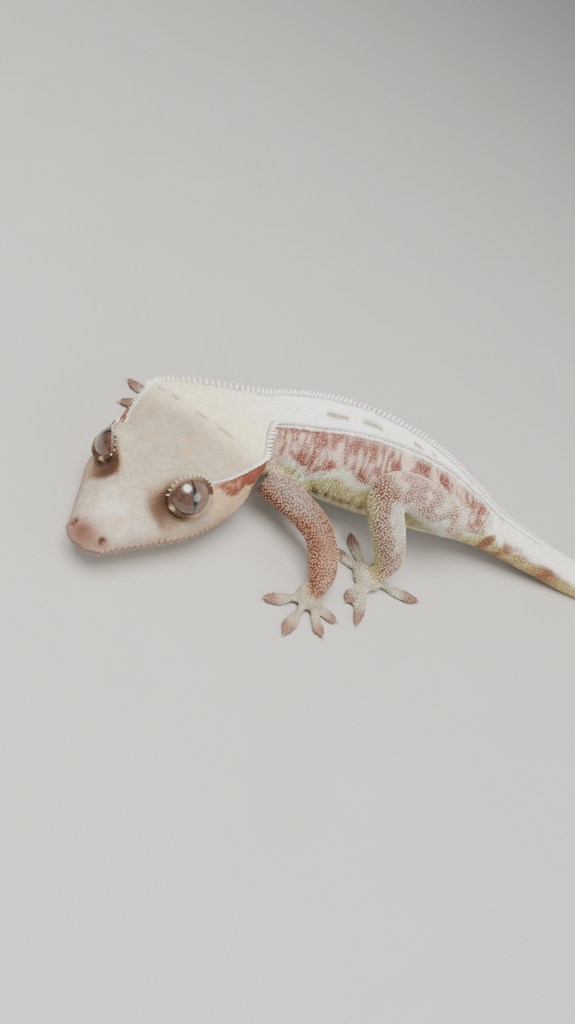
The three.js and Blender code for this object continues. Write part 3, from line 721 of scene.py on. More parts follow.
def trunk_colours(points, found):
    """White back with olive dashes between the crests, red flank in fine upright streaks with a scalloped mint
    edge, olive lower flank, cream belly, a granular grey-brown neck over the shoulder, and painted shade in the
    wrinkles and in a dark line under the neck's crests."""
    place, angle, above = found["place"], np.degrees(found["angle"]), above_side(found)
    crest = np.degrees(crest_angle(place))
    wavy = cloud(points, 4.5, 21)
    lines = np.stack([place * 10.5, above * 0.035, 0 * place], -1)
    fine = noise(lines, 0.42, 23)
    edge = 17 + 5 * np.sin(place * 8 + 1.5 * wavy) + 11 * cloud(points, 6.5, 28)
    colour = shade("belly", len(points))
    olive = smooth(-28, -20, above + 5 * wavy)
    colour = over(colour, "yellow", olive * (0.75 + 0.35 * fine))
    colour = over(colour, "cheek", 0.45 * bump(above, -24, 4) * smooth(0.1, 0.5, noise(lines, 0.9, 27)))
    colour = over(colour, "scallop", smooth(edge - 15, edge - 8, above))
    red = smooth(edge - 2, edge + 3, above + 5 * fine)
    colour = over(colour, "flank", red)
    streak = smooth(-0.55, 0.5, 0.8 * fine + 1.0 * cloud(points, 3.4, 25))
    colour = over(colour, "granule", 0.82 * red * streak)
    neck = (1 - smooth(1.25, 1.9, place + 0.25 * wavy)) * smooth(30, 5, above)
    colour = over(colour, "granule", 0.8 * neck)
    colour = over(colour, "flank", 0.45 * neck * smooth(0.0, 0.5, fine))
    # painted shade: the trunk's colour darkened inside the wrinkles behind the shoulder and along the lower flank
    colour = colour * (1 - 0.42 * folds(points, found))[:, None]
    # painted shade: a dark line just under the neck's crest rows
    colour = over(colour, "crest_shade", 0.85 * bump(above, crest - 7, 2.0) * (1 - smooth(1.8, 2.6, place)))
    pale = bump(above, crest - 7, 4) * smooth(2.0, 3.4, place)
    colour = over(colour, "scallop", 0.7 * pale)
    cape = 1 - smooth(1.0, 1.9, place)
    top = smooth(crest - 5.5, crest - 3.5, above)
    colour = over(colour, "back", top)
    colour = over(colour, "cape", top * cape * (1 - 0.5 * smooth(0.3, 1.0, place)))
    dashes = bump(angle + 8 * cloud(points, 5, 26), 88, 5) * smooth(-0.1, 0.2, broken(place * 10, 1.2, 24))
    return over(colour, "streak", 0.7 * dashes * smooth(0.9, 1.4, place))


def folds(points, found):
    """Narrow wrinkles, 0 to 1: upright ones about a millimetre apart behind the shoulder and slanting ones along
    the lower flank, each the cube of 1 - |sin|. They sink the skin, and they darken its colour as painted shade in
    the creases."""
    place, above = found["place"], above_side(found)
    armpit = bump(place, 1.75, 0.42) * bump(above, -4, 20)
    upright = creases(place * 26 + above * 0.02 + 2.0 * noise(points, 4, 76))
    lower = smooth(1.9, 2.3, place) * (1 - smooth(4.0, 4.5, place)) * bump(above, -24, 9)
    slanting = creases(place * 17 + above * 0.09 + 1.5 * noise(points, 4, 77))
    return np.clip(armpit * upright + lower * slanting, 0, 1)


def tail_colours(points, found):
    """White above, tan below, red-brown along the sides of its base and in blotches beyond."""
    place, above = found["place"], above_side(found)
    wavy = cloud(points, 4, 31)
    colour = shade("tail_side", len(points))
    colour = over(colour, "tail_top", smooth(10, 26, above + 10 * wavy))
    side = 1 - smooth(22, 44, above + 8 * wavy)
    base = bump(place + 0.12 * wavy, 6.0, 0.75)
    base = base * smooth(-0.2, 0.2, cloud(points, 2.6, 35))
    spot = bump(place + 0.1 * wavy, 7.3, 0.28) * smooth(40, 20, above)
    spot = spot + smooth(0.25, 0.4, cloud(points, 6.5, 33)) * smooth(8, 8.5, place)
    colour = over(colour, "blotch", 0.85 * side * np.maximum(base, spot))
    colour = over(colour, "belly", 0.6 * (1 - smooth(-60, -30, above)))
    fleck = smooth(0.4, 0.6, cloud(points, 2.0, 34)) * smooth(40, 60, above)
    return over(colour, "fleck", 0.5 * fleck)


def limb_colours(points, found):
    """Orange-brown forelegs with a mauve shoulder and paler outside, mauve-red thighs with a mint patch, and
    shanks with a yellow-mint front, a maroon band and a pale rear."""
    place, turn = found["limb_place"], found["limb_angle"]
    wavy = cloud(points, 3.5, 41)
    up = np.cos(turn)
    fore = shade("arm", len(points))
    fore = over(fore, "arm_dot", 0.28 * smooth(0.2, 0.9, up + 0.3 * wavy) * (1 - smooth(0.6, 0.8, place)))
    shoulder = 0.85 * (1 - smooth(0.16, 0.28, place + 0.06 * wavy)) * smooth(-0.3, 0.5, up)
    fore = over(fore, "shoulder", shoulder)
    fore = over(fore, "arm_inside", 0.6 * smooth(0.3, 0.9, -up + 0.3 * wavy))
    hind = shade("maroon", len(points))
    thigh = 1 - smooth(0.28, 0.36, place)
    hind = over(hind, "thigh", (0.45 + 0.5 * smooth(-0.2, 0.4, cloud(points, 2.4, 42))) * thigh)
    hind = over(hind, "mint", thigh * smooth(0.15, 0.4, cloud(points, 5.0, 43)))
    hind = over(hind, "mint", thigh * smooth(0.1, 0.6, -up + 0.3 * wavy))
    shank = smooth(0.34, 0.4, place)
    hind = over(hind, "thigh", 0.35 * shank)
    hind = over(hind, "stripe", 0.9 * shank * smooth(0.15, 0.5, -up + 0.4 * wavy))
    rear = 0.8 * shank * smooth(0.5, 0.8, up + 0.6 * wavy) * (1 - smooth(0.5, 0.62, place))
    hind = over(hind, "mint", rear)
    hind = over(hind, "ankle", 0.85 * smooth(0.68, 0.8, place + 0.04 * wavy))
    return np.where(on_foreleg(found)[:, None], fore, hind)


def foot_colours(points, found):
    """Pale feet; the toe pads pink-brown towards their tips, each toe by a different amount."""
    wavy = cloud(points, 2.5, 51)
    colour = np.where(on_foreleg(found)[:, None], COLOURS["foot"], COLOURS["hind_foot"]).astype(float)
    colour = over(colour, "arm_dot", 0.3 + 0.3 * wavy)
    pad = smooth(0.62, 0.8, found["toe_place"]) * smooth(1.5, 0.9, points[:, 2])
    of_toe = noise(np.repeat(found["toe"][:, None], 3, 1), 0.9, 52)
    tips = smooth(0.55, 0.85, found["toe_place"]) * (0.48 + 0.35 * of_toe)
    return over(colour, "pad", np.maximum(0.8 * pad, tips))


def skin_colours(points, found):
    """Every region's colours, mixed by the regions' shares."""
    share = regions(points, found)
    colour = trunk_colours(points, found)
    colour = mix(colour, tail_colours(points, found), share["tail"][:, None])
    colour = mix(colour, limb_colours(points, found), share["limb"][:, None])
    colour = mix(colour, foot_colours(points, found), share["foot"][:, None])
    colour = mix(colour, head_colours(points, found["head"]), share["head"][:, None])
    return colour * (1 + 0.05 * cloud(points, 1.2, 61)[:, None])


# The skin

def loft(function, first, second):
    """A closed tube over function(first, second) on a grid of rings and angles."""
    return closed_tube(function(*pairs(first, second)))


def ellipsoid(place, radii, rows=24, columns=40):
    """A closed sphere grid scaled by its radii: x sin cos, y sin sin, z cos."""
    polar, azimuth = sphere_grid(rows, columns)
    ball = np.stack([np.sin(polar) * np.cos(azimuth), np.sin(polar) * np.sin(azimuth), np.cos(polar)], -1)
    return closed_tube(ball * radii + place)


def limb_forms(leg):
    """Both lengths of a limb, oval rings about its line, and a ball at the bend."""
    parts = []
    for first, last in ((0, BEND - 1e-6), (BEND, 1)):
        t, angle = pairs(np.linspace(first, last, 40), turns(48))
        centre, across, side = limb_frame(leg, t)
        radius = limb_radius(leg, t)[..., None]
        rings = centre + radius * (across * np.cos(angle)[..., None] + 0.92 * side * np.sin(angle)[..., None])
        parts.append(closed_tube(rings))
    return [*parts, ellipsoid(leg["joints"][1], np.full(3, leg["radii"][1] * 0.98))]


def toe_form(palm, tip):
    """Oval rings along a toe: a slim shaft and a broad flat pad."""
    t, angle = pairs(np.linspace(0, 1, 40), turns(28))
    centre, _, side, wide, tall = toe_line(palm, tip, t)
    rings = centre + side * (wide * np.cos(angle))[..., None]
    rings[..., 2] += tall * np.sin(angle)
    return closed_tube(rings)


def head_tube(x, angle):
    """The head's sections, and for x below 0 the first one moved straight back."""
    return from_head(head_point(np.maximum(x, 0), angle) * [0, 1, 1] + x[..., None] * [1, 0, 0])


def raw_body():
    """Head, neck, trunk with tail, limbs, palms and toes as closed overlapping surfaces in the animal's
    millimetres; the head's sections follow each other as a sine's values, closer towards the snout."""
    turn = np.linspace(-np.pi, np.pi, 96, endpoint=False)
    last = np.pi / 2 * 0.86
    length = HEAD_LENGTH * np.sin(np.linspace(0, last, 80)) / np.sin(last)
    parts = [
        loft(head_tube, np.concatenate([[-1.2, -0.6], length]), turn),
        loft(neck_point, np.linspace(0, 1, 40), turn),
        loft(body_point, np.linspace(NECK_END - 0.04, SPINE_END, 320), turns(80)),
    ]
    for name, leg in LEGS.items():
        size = PALM_SIZE[name.split("_")[1]]
        parts += limb_forms(leg)
        parts.append(ellipsoid((*leg["palm"], 1.7), (size, size, 1.9)))
        parts += [toe_form(leg["palm"], tip) for tip in leg["toes"]]
    return joined(parts)


def relaxed(points, edges, weight, turns, shrink=0.5, grow=-0.53):
    """Taubin smoothing: each turn moves points to the mean of their neighbours by shrink, then away by grow."""
    degree = np.bincount(edges.ravel(), minlength=len(points))[:, None]
    for step in [shrink, grow] * turns:
        mean = np.stack([
            np.bincount(edges[:, 0], points[edges[:, 1], k], len(points))
            + np.bincount(edges[:, 1], points[edges[:, 0], k], len(points)) for k in range(3)], 1) / degree
        points = points + step * weight[:, None] * (mean - points)
    return points


def edge_array(mesh):
    return read(mesh.edges, "vertices", 2, np.int32).astype(np.int64)


def vertex_normals(mesh, points):
    """Each vertex's normal from its faces' areas: the sum of the cross products of the triangles round it."""
    mesh.calc_loop_triangles()
    triangles = read(mesh.loop_triangles, "vertices", 3, np.int32)
    a, b, c = (points[triangles[:, k]] for k in range(3))
    cross = np.cross(b - a, c - a)
    total = np.stack([sum(np.bincount(triangles[:, k], cross[:, axis], len(points)) for k in range(3))
                      for axis in range(3)], 1)
    return unit(total)


def junctions(found):
    """How near a point is to where a limb leaves the body or the neck leaves the head, from 0 to 1."""
    limb = bump(found["over_body"], 0.4, 1.6) * bump(found["over_limb"], 0.0, 1.6) * (found["limb_place"] < 0.5)
    neck = bump(found["head"][:, 0], -0.3, 1.3) * 0.8
    return np.clip(limb + neck, 0, 1)


def eye_opening(head, side):
    """1 at the rim of the lids, less inside: the eye's angles over the opening's half angles."""
    reach, forward, upward = eye_polar(head, side)
    return reach, np.hypot(forward / radians(LID_OPENING[0]), upward / lid_height(upward, side))


def lid_height(upward, side):
    """The opening's half angle above or below its middle; the right upper lid hangs lower."""
    return radians(1) * np.where((np.asarray(upward) > 0) & (side < 0), RIGHT_LID, LID_OPENING[1])


def carved(head):
    """Head points after the lids: inside the opening the skin sinks behind the eyeball, its rim stands a little
    over the eyeball, low folds run round it, and it eases into the brow without baring the eyeball's side."""
    for side in (-1, 1):
        reach, opening = eye_opening(head, side)
        polar = np.hypot(*eye_polar(head, side)[1:])
        near = (head[:, 1] * side > 0) & (reach < 9) & ((opening < 2.6) | (polar < radians(100)))
        rim = EYE_RADIUS + LID_RIM + 0.12 * bump(opening, 1.06, 0.05)
        sunk = mix(EYE_RADIUS * 0.76, rim, smooth(0.9, 1.0, opening))
        blended = mix(sunk, reach, smooth(1.1, 1.4, opening))
        for fold, depth in LID_FOLDS:
            blended = blended - depth * bump(opening, fold, 0.045)
            blended = blended + 0.7 * depth * bump(opening, fold + 0.09, 0.05)
        covered = np.maximum(blended, EYE_RADIUS + 0.1)
        beside = (opening > 1.0) & (polar < LID_COVER) & (reach > EYE_RADIUS * 0.7)
        blended = np.where(beside, covered, blended)
        blended = np.where(reach > EYE_RADIUS * 0.5, blended, reach)
        grown = (blended / np.maximum(reach, 1e-6))[:, None]
        head = np.where(near[:, None], eye_centre(side) + (head - eye_centre(side)) * grown, head)
    return head


def relief(points, found):
    """Height to add along the normal: nostril and ear pits, the mouth's groove between its lips, low bumps over
    the head, and the folds of the neck, the flank and the bends of the limbs."""
    head = found["head"]
    x, y, z = head.T
    share = smooth(-0.5, 0.5, x) * (np.abs(y) < 15)
    height = np.zeros(len(points))
    lip = lip_line(x)
    groove = -0.26 * bump(z, lip, 0.2) + 0.1 * bump(z, lip + 0.7, 0.4) + 0.1 * bump(z, lip - 0.7, 0.4)
    height += share * smooth(3.5, 5.5, x) * groove
    for side in (-1, 1):
        reach = nostril_reach(head, side)
        height += share * (-0.5 * bump(reach, 0, 0.42) + 0.14 * bump(reach, 0.85, 0.3))
        reach = ear_reach(head, side)
        height += share * (-0.8 * bump(reach, 0, 0.7) + 0.15 * bump(reach, 1.3, 0.35))
    height += share * 0.10 * cloud(points, 3.0, 71)
    place, above = found["place"], above_side(found)
    trunk = (1 - share) * (found["over_limb"] > 0.4)
    neck_fold = bump(place, 0.9, 0.7) * smooth(60, 30, above)
    height -= trunk * neck_fold * 0.22 * waves(place * 26 + above * 0.03 + 2 * noise(points, 5, 72))
    flank = smooth(1.6, 2.1, place) * (1 - smooth(4.3, 5.0, place)) * bump(above, 5, 32)
    height -= trunk * flank * 0.2 * waves(place * 17 - above * 0.05 + 2.2 * noise(points, 6, 73))
    height -= trunk * 0.3 * folds(points, found)
    height += trunk * 0.12 * cloud(points, 4.0, 74) * (1 - smooth(7, 9, place))
    bend = bump(found["limb_place"], BEND, 0.07) * (found["over_limb"] < 0.6) * (1 - share)
    height -= bend * 0.14 * waves(found["limb_place"] * 190 + 1.5 * noise(points, 2, 75))
    return height


def make_skin(settings):
    """One skin: the closed forms fused by a voxel remesh, smoothed, made finer on the head, coloured with painted
    shade between its scales, and then raised by its relief and carved round the eyes."""
    vertices, faces = raw_body()
    carrier = placed("rough", triangle_mesh("rough", to_frame(vertices), faces))
    remesh = carrier.modifiers.new("fuse", "REMESH")
    remesh.mode = "VOXEL"
    remesh.voxel_size = settings.voxel
    evaluated = carrier.evaluated_get(bpy.context.evaluated_depsgraph_get())
    mesh = bpy.data.meshes.new_from_object(evaluated)
    mesh.name = "skin"
    bpy.data.objects.remove(carrier)

    points = from_frame(read(mesh.vertices, "co").astype(float))
    edges = edge_array(mesh)
    points = relaxed(points, edges, np.ones(len(points)), 4)
    found = locate(points)
    points = relaxed(points, edges, junctions(found), 12, 0.5, -0.1)
    mesh.vertices.foreach_set("co", to_frame(points).astype(np.float32).ravel())

    fine = bmesh.new()
    fine.from_mesh(mesh)
    front = to_head(points)[:, 0] > -1.2
    chosen = [edge for edge in fine.edges if front[edge.verts[0].index] and front[edge.verts[1].index]]
    bmesh.ops.subdivide_edges(fine, edges=chosen, cuts=1, use_grid_fill=True)
    bmesh.ops.triangulate(fine, faces=[face for face in fine.faces if len(face.verts) > 4])
    fine.to_mesh(mesh)
    fine.free()

    points = from_frame(read(mesh.vertices, "co").astype(float))
    edges = edge_array(mesh)
    in_head = smooth(-1.0, 0.5, to_head(points)[:, 0])
    points = relaxed(points, edges, in_head, 2)
    found = locate(points)
    colours = skin_colours(points, found)
    share = regions(points, found)
    # painted shade between the scales: the bare skin darkened, more where its colour is darker and on the limbs
    # and feet, less on the head
    painted_gap_shade = mix(mix(0.74, 0.95, smooth(150, 215, colours.mean(1))), 0.95, in_head)
    painted_gap_shade = painted_gap_shade * (1 - np.where(on_foreleg(found), 0.13, 0.04) * share["limb"] - 0.06 * share["foot"])
    tint(mesh, colours * painted_gap_shade[:, None])
    normals = vertex_normals(mesh, points)
    points = points + normals * (relief(points, found) - settings.skin_depth / MM)[:, None]
    head = carved(to_head(points))
    points = np.where((in_head > 0)[:, None], from_head(head), points)
    points[:, 2] = np.maximum(points[:, 2], 0.02)
    mesh.vertices.foreach_set("co", to_frame(points).astype(np.float32).ravel())
    mesh.update()
    return mesh


# The coat: scales, crests, labials

def cones(rings, tips, sizes):
    """Closed shapes as one vertex and triangle array: walls between each one's rings, a fan to its tip and one
    over its base from the first corner. Also one shape's flat outline, its rings as circles of the sizes."""
    sides = rings[0].shape[1]
    j = np.arange(sides)
    k = (j + 1) % sides
    wall = np.concatenate([np.stack([j, k, sides + k], -1), np.stack([j, sides + k, sides + j], -1)])
    last = (len(rings) - 1) * sides
    top = np.stack([last + j, last + k, np.full(sides, last + sides)], -1)
    base = np.stack([np.zeros(sides - 2, int), j[2:], j[1:-1]], -1)
    faces = np.concatenate([*(wall + sides * number for number in range(len(rings) - 1)), top, base])
    faces = faces[None] + (np.arange(len(tips)) * (last + sides + 1))[:, None, None]
    circle = np.stack([np.cos(turns(sides)), np.sin(turns(sides))], -1)
    flat = np.concatenate([*(size * circle for size in sizes), np.zeros((1, 2))])
    return np.concatenate([*rings, tips], 1).reshape(-1, 3), faces.reshape(-1, 3), flat


def domes(roots, normals, ahead, long, wide, tall, sides=6):
    """Closed low domes: a base ring sunk under the skin by 0.55 of the height, a shoulder ring of 0.76 its size
    at 0.62 of the height, and an apex."""
    ahead = unit(ahead - normals * (ahead * normals).sum(-1, keepdims=True))
    side = np.cross(normals, ahead)
    turn = turns(sides)
    ring = (np.cos(turn)[:, None] * (ahead * long[:, None])[:, None]
            + np.sin(turn)[:, None] * (side * wide[:, None])[:, None])
    lift = (normals * tall[:, None])[:, None]
    base = roots[:, None] + ring - 0.55 * lift
    shoulder = roots[:, None] + 0.76 * ring + 0.62 * lift
    return cones([base, shoulder], roots[:, None] + lift, (1.0, 0.6))


def chart(points, found):
    """Where a root lies on the skin's unwrap: the head's length and angle in one strip, the trunk and tail's in a
    second, and each limb and foot in a strip of its own."""
    head = found["head"]
    turn = np.arctan2(head[:, 2] + 6.5, head[:, 1]) / (2 * np.pi) + 0.5
    uv = np.stack([0.03 + 0.42 * np.clip((head[:, 0] + 2) / 37, 0, 1), 0.03 + 0.28 * turn], -1)
    angle = (found["angle"] + np.pi / 2) / (2 * np.pi)
    trunk = np.stack([0.03 + 0.94 * np.clip((found["place"] + 0.5) / 12.5, 0, 1), 0.36 + 0.28 * angle], -1)
    around = found["limb_angle"] / (2 * np.pi) + 0.5
    strip = 0.25 * (found["limb"] % 4) * 0.96
    limb = np.stack([0.03 + 0.22 * found["limb_place"] + strip, 0.68 + 0.12 * around], -1)
    share = regions(points, found)
    flat = np.stack([(points[:, 0] + 40) / 100, (points[:, 1] + 35) / 80], -1)
    foot = np.stack([0.5 + 0.45 * flat[:, 0], 0.03 + 0.28 * flat[:, 1]], -1)
    uv = np.where((share["head"] > 0.5)[:, None], uv, trunk)
    uv = np.where((share["limb"] > 0.5)[:, None], limb, uv)
    return np.where((share["foot"] > 0.5)[:, None], foot, uv)


def coat_piece(name, shapes, roots_uv, colours, material, low=0.93, high=1.06):
    """A coat piece with a colour per shape in Tint, from low times it at the root to high at the tip, painted
    shade towards each shape's root and painted light towards its tip, and, in OFBake, a patch twice PATCH across
    for each shape."""
    vertices, faces, flat = shapes
    mesh = triangle_mesh(name, to_frame(vertices), faces)
    uv = (roots_uv[:, None] + PATCH * flat[None]).reshape(-1, 2)
    # painted shade and light on each shape: its colour scaled from low at the root to high at the tip
    painted_root_shade_tip_light = np.linspace(low, high, len(flat))
    tint(mesh, (colours[:, None] * painted_root_shade_tip_light[None, :, None]).reshape(-1, 3))
    loops = read(mesh.loops, "vertex_index", 1, np.int32)
    layer = mesh.uv_layers.new(name="OFBake")
    layer.data.foreach_set("uv", uv[loops].astype(np.float32).ravel())
    piece = piece_from(mesh, material)


def scatter(skin, attribute, spacing, seed):
    """Points at least spacing apart on the faces where a vertex attribute is above half, and the normals there."""
    tree = bpy.data.node_groups.new("scatter", "GeometryNodeTree")
    tree.interface.new_socket("Geometry", in_out="INPUT", socket_type="NodeSocketGeometry")
    tree.interface.new_socket("Geometry", in_out="OUTPUT", socket_type="NodeSocketGeometry")
    start, end = tree.nodes.new("NodeGroupInput"), tree.nodes.new("NodeGroupOutput")
    value = tree.nodes.new("GeometryNodeInputNamedAttribute")
    value.data_type = "FLOAT"
    value.inputs["Name"].default_value = attribute
    spread = tree.nodes.new("GeometryNodeDistributePointsOnFaces")
    spread.distribute_method = "POISSON"
    spread.inputs["Distance Min"].default_value = spacing
    spread.inputs["Density Max"].default_value = 5.0 / spacing**2
    spread.inputs["Seed"].default_value = seed
    store = tree.nodes.new("GeometryNodeStoreNamedAttribute")
    store.data_type = "FLOAT_VECTOR"
    store.inputs["Name"].default_value = "root_normal"
    dots = tree.nodes.new("GeometryNodePointsToVertices")
    link = tree.links.new
    link(start.outputs[0], spread.inputs["Mesh"])
    link(value.outputs["Attribute"], spread.inputs["Density Factor"])
    link(spread.outputs["Points"], store.inputs["Geometry"])
    link(spread.outputs["Normal"], store.inputs["Value"])
    link(store.outputs["Geometry"], dots.inputs["Points"])
    link(dots.outputs["Mesh"], end.inputs[0])
    modifier = skin.modifiers.new("scatter", "NODES")
    modifier.node_group = tree
    evaluated = skin.evaluated_get(bpy.context.evaluated_depsgraph_get())
    mesh = bpy.data.meshes.new_from_object(evaluated)
    points = read(mesh.vertices, "co").astype(float)
    normals = read(mesh.attributes["root_normal"].data, "vector").astype(float)
    skin.modifiers.remove(modifier)
    bpy.data.meshes.remove(mesh)
    bpy.data.node_groups.remove(tree)
    return from_frame(points), unit(normals)


def coat_shares(points, found):
    """For each zone of the coat, 1 where its scales grow: not in the eyes, nostrils, mouth or under the feet."""
    share = regions(points, found)
    head = found["head"]
    bare = np.zeros(len(points))
    for side in (-1, 1):
        reach, opening = eye_opening(head, side)
        bare = np.maximum(bare, (head[:, 1] * side > 0) * (reach < 6) * (opening < 1.0))
        bare = np.maximum(bare, nostril_reach(head, side) < 0.55)
        bare = np.maximum(bare, ear_reach(head, side) < 0.75)
    lips = np.abs(head[:, 2] - lip_line(head[:, 0])) < 0.95
    bare = np.maximum(bare, lips * (head[:, 0] > 6) * (share["head"] > 0.5))
    bare = np.maximum(bare, points[:, 2] < 0.3)
    grow = 1 - bare
    zones = {"head": share["head"] > 0.5, "feet": share["foot"] > 0.5, "limbs": share["limb"] > 0.5}
    zones["limbs"] &= ~zones["head"] & ~zones["feet"]
    rest = ~zones["head"] & ~zones["feet"] & ~zones["limbs"]
    zones["tail"] = rest & (found["place"] > TORSO_END)
    zones["trunk"] = rest & (found["place"] <= TORSO_END)
    return {name: grow * zone for name, zone in zones.items()}


def make_scales(settings, material):
    """Granular scales over the whole skin, in pieces of at most MOST_SCALES domes, and the lips' plates."""
    skin = bpy.data.objects["skin"]
    points = from_frame(read(skin.data.vertices, "co").astype(float))
    found = locate(points)
    for seed, (zone, share) in enumerate(coat_shares(points, found).items()):
        layer = skin.data.attributes.new("grow_" + zone, "FLOAT", "POINT")
        layer.data.foreach_set("value", share.astype(np.float32))
        spacing = getattr(settings, zone + "_scale")
        roots, normals = scatter(skin, "grow_" + zone, spacing, 100 + seed)
        skin.data.attributes.remove(skin.data.attributes["grow_" + zone])
        grow_scales(zone, roots, normals, spacing / MM, seed, material)
    labials(material)


def grow_scales(zone, roots, normals, spacing, seed, material):
    """Domes of about 0.56 of the spacing in radius on the roots, with seeded sizes and the skin's colours."""
    order = np.argsort(roots[:, 0])
    roots, normals = roots[order], normals[order]
    found = locate(roots)
    colours = skin_colours(roots, found)
    random = np.random.default_rng(seed)
    size = spacing * random.uniform(0.5, 0.62, len(roots))
    if zone == "limbs":
        pale = np.where(on_foreleg(found)[:, None], COLOURS["arm_dot"], COLOURS["belly"])
        colours = mix(colours, pale, 0.3 + 0.45 * smooth(-0.5, 0.4, cloud(roots, 2.5, 82))[:, None])
        size = size * 0.9
    if zone == "trunk":
        size = size * (1 + 0.2 * noise(roots, 2.0, 81))
        red = smooth(30, -10, colours[:, 1] - 110) * random.uniform(0, 0.45, len(roots))
        colours = over(colours, "granule", red)
    spread = 0.03 if zone == "head" else 0.07
    colours = colours * random.uniform(1 - spread, 1 + spread, (len(roots), 1))
    tall = size * HEIGHT_OF[zone]
    ahead = random.normal(size=roots.shape)
    uv = chart(roots, found)
    parts = -(-len(roots) // MOST_SCALES)
    for number, part in enumerate(np.array_split(np.arange(len(roots)), parts)):
        long = size[part]
        shapes = domes(roots[part], normals[part], ahead[part], long, long * 0.95, tall[part])
        coat_piece(f"scales_{zone}_{number + 1}", shapes, uv[part], colours[part], material)


def labials(material):
    """Rows of larger plates along both lips, placed where the head's section reaches each row's height."""
    roots, normals, ahead, long = [], [], [], []
    for side in (-1, 1):
        for offset in (0.55, -0.55):
            x = np.cumsum(np.linspace(1.15, 0.85, 30)) + 5.4
            x = x[x < 32.2]
            z = lip_line(x) + offset
            row = np.array([surface_at(a, b, side) for a, b in zip(x, z)])
            forward = unit(np.gradient(row, axis=0))
            out = unit(np.cross(forward, [0, 0, 1]) * -side)
            out[:, 2] += 0.12 * np.sign(offset)
            roots.append(row - 0.14 * out)
            normals.append(unit(out))
            ahead.append(forward)
            long.append(np.gradient(x) * 0.52)
    roots, normals, ahead, long = (np.concatenate(part) for part in (roots, normals, ahead, long))
    roots, normals, ahead = from_head(roots), normals @ HEAD_AXES.T, ahead @ HEAD_AXES.T
    wide, tall = np.full(len(roots), 0.5), np.full(len(roots), 0.17)
    shapes = domes(roots, normals, ahead, long, wide, tall, 8)
    found = locate(roots)
    coat_piece("scales_head_lips", shapes, chart(roots, found), skin_colours(roots, found), material)


def spines(roots, directions, lean, tall, wide, sides=6):
    """Closed curved cones: four rings that narrow as 1.08 - t, at most 1, while the line leans by 0.3 of t
    squared, and an apex."""
    directions = unit(directions)
    across = unit(np.cross(directions, lean + 1e-6))
    front = np.cross(across, directions)
    turn = turns(sides)
    ring = np.cos(turn)[:, None] * across[:, None] + np.sin(turn)[:, None] * front[:, None]
    rings = []
    for t in (-0.35, 0.15, 0.5, 0.8):
        centre = roots + directions * (tall * t)[:, None] + lean * (tall * 0.3 * max(t, 0) ** 2)[:, None]
        rings.append(centre[:, None] + (wide / 2 * min(1, 1.08 - t))[:, None, None] * ring)
    tips = roots + directions * tall[:, None] + lean * (tall * 0.3)[:, None]
    return cones(rings, tips[:, None], (1.0, 0.8, 0.6, 0.4))


def crest_rows(settings):
    """Roots, directions, leans, heights and widths of the spines: both body rows, both edges of the neck, both
    edges of the crown with two tall ones at the right rear corner, and the upper lids."""
    random = np.random.default_rng(7)
    rows = {"trunk": [], "head": []}
    tallest = settings.crest_height / MM
    back = -HEAD_AXES[:, 0]
    for side in (-1, 1):
        place = np.linspace(NECK_END + 0.03, CREST_END, settings.crest_spines)
        angle = np.pi / 2 - side * (np.pi / 2 - crest_angle(place))
        centre, ahead, _, _ = spine_frame(place)
        root = body_point(place, angle, 0.1)
        tall = tallest * mix(1.0, 0.5, smooth(3.5, CREST_END, place)) * random.uniform(0.85, 1.1, len(place))
        rows["trunk"].append((root, unit(root - centre), ahead, tall))
        count = settings.neck_spines if side < 0 else settings.neck_spines // 2
        share = (np.arange(count) + 0.7) / (count + 0.4)
        turn = np.full(count, np.pi / 2 - side * CROWN_CORNER)
        root = neck_point(share, turn)
        out = root - neck_point(share, np.full(count, np.pi / 2))
        out[:, 2] += 0.9 * np.linalg.norm(out, axis=-1)
        tall = tallest * random.uniform(0.85, 1.1, count)
        rows["trunk"].append((root, unit(out), np.tile(back, (count, 1)), tall))
        count = settings.crown_spines
        x = np.linspace(12.6, 0.3, count)
        root = head_point(x, np.full(count, CROWN_CORNER)) * [1, side, 1] - [0, side * 0.1, 0.05]
        out = np.tile(unit(np.array([-0.1, side, 0.45])), (count, 1))
        tall = np.linspace(0.62, 1.1, count) * random.uniform(0.9, 1.1, count)
        if side < 0:
            tall[-3:-1] = 1.55
        rows["head"].append((from_head(root), out @ HEAD_AXES.T, np.tile(back, (count, 1)), tall))
        axis, forward, upward = eye_axes(side)
        turn = np.radians(np.linspace(12, 158, settings.lid_spines))
        round_rim = np.cos(turn)[:, None] * forward + np.sin(turn)[:, None] * upward
        wide, high = np.cos(turn) * radians(LID_OPENING[0]), np.sin(turn) * lid_height(turn, side)
        tilt = np.hypot(wide, high) * 1.05
        out = axis * np.cos(tilt)[:, None] + round_rim * np.sin(tilt)[:, None]
        root = eye_centre(side) + out * (EYE_RADIUS + 0.4)
        tall = 0.5 * random.uniform(0.8, 1.15, len(turn))
        out = unit(out + 0.4 * round_rim)
        rows["head"].append((from_head(root), out @ HEAD_AXES.T, round_rim @ HEAD_AXES.T, tall))
    return {zone: [np.concatenate(part) for part in zip(*parts)] for zone, parts in rows.items()}


def make_crests(settings, material):
    """The spines as one coat piece for the head and one for the neck, trunk and tail base."""
    for zone, (root, out, lean, tall) in crest_rows(settings).items():
        shapes = spines(root, out, lean, tall, tall * 0.76)
        found = locate(root)
        colours = mix(skin_colours(root, found), np.array(COLOURS["back"], float), 0.75)
        # painted shade at each spine's root and painted light at its tip, 0.72 to 1.1 of its colour
        coat_piece(f"crest_{zone}", shapes, chart(root, found), colours, material, 0.72, 1.1)


# Eyes and claws

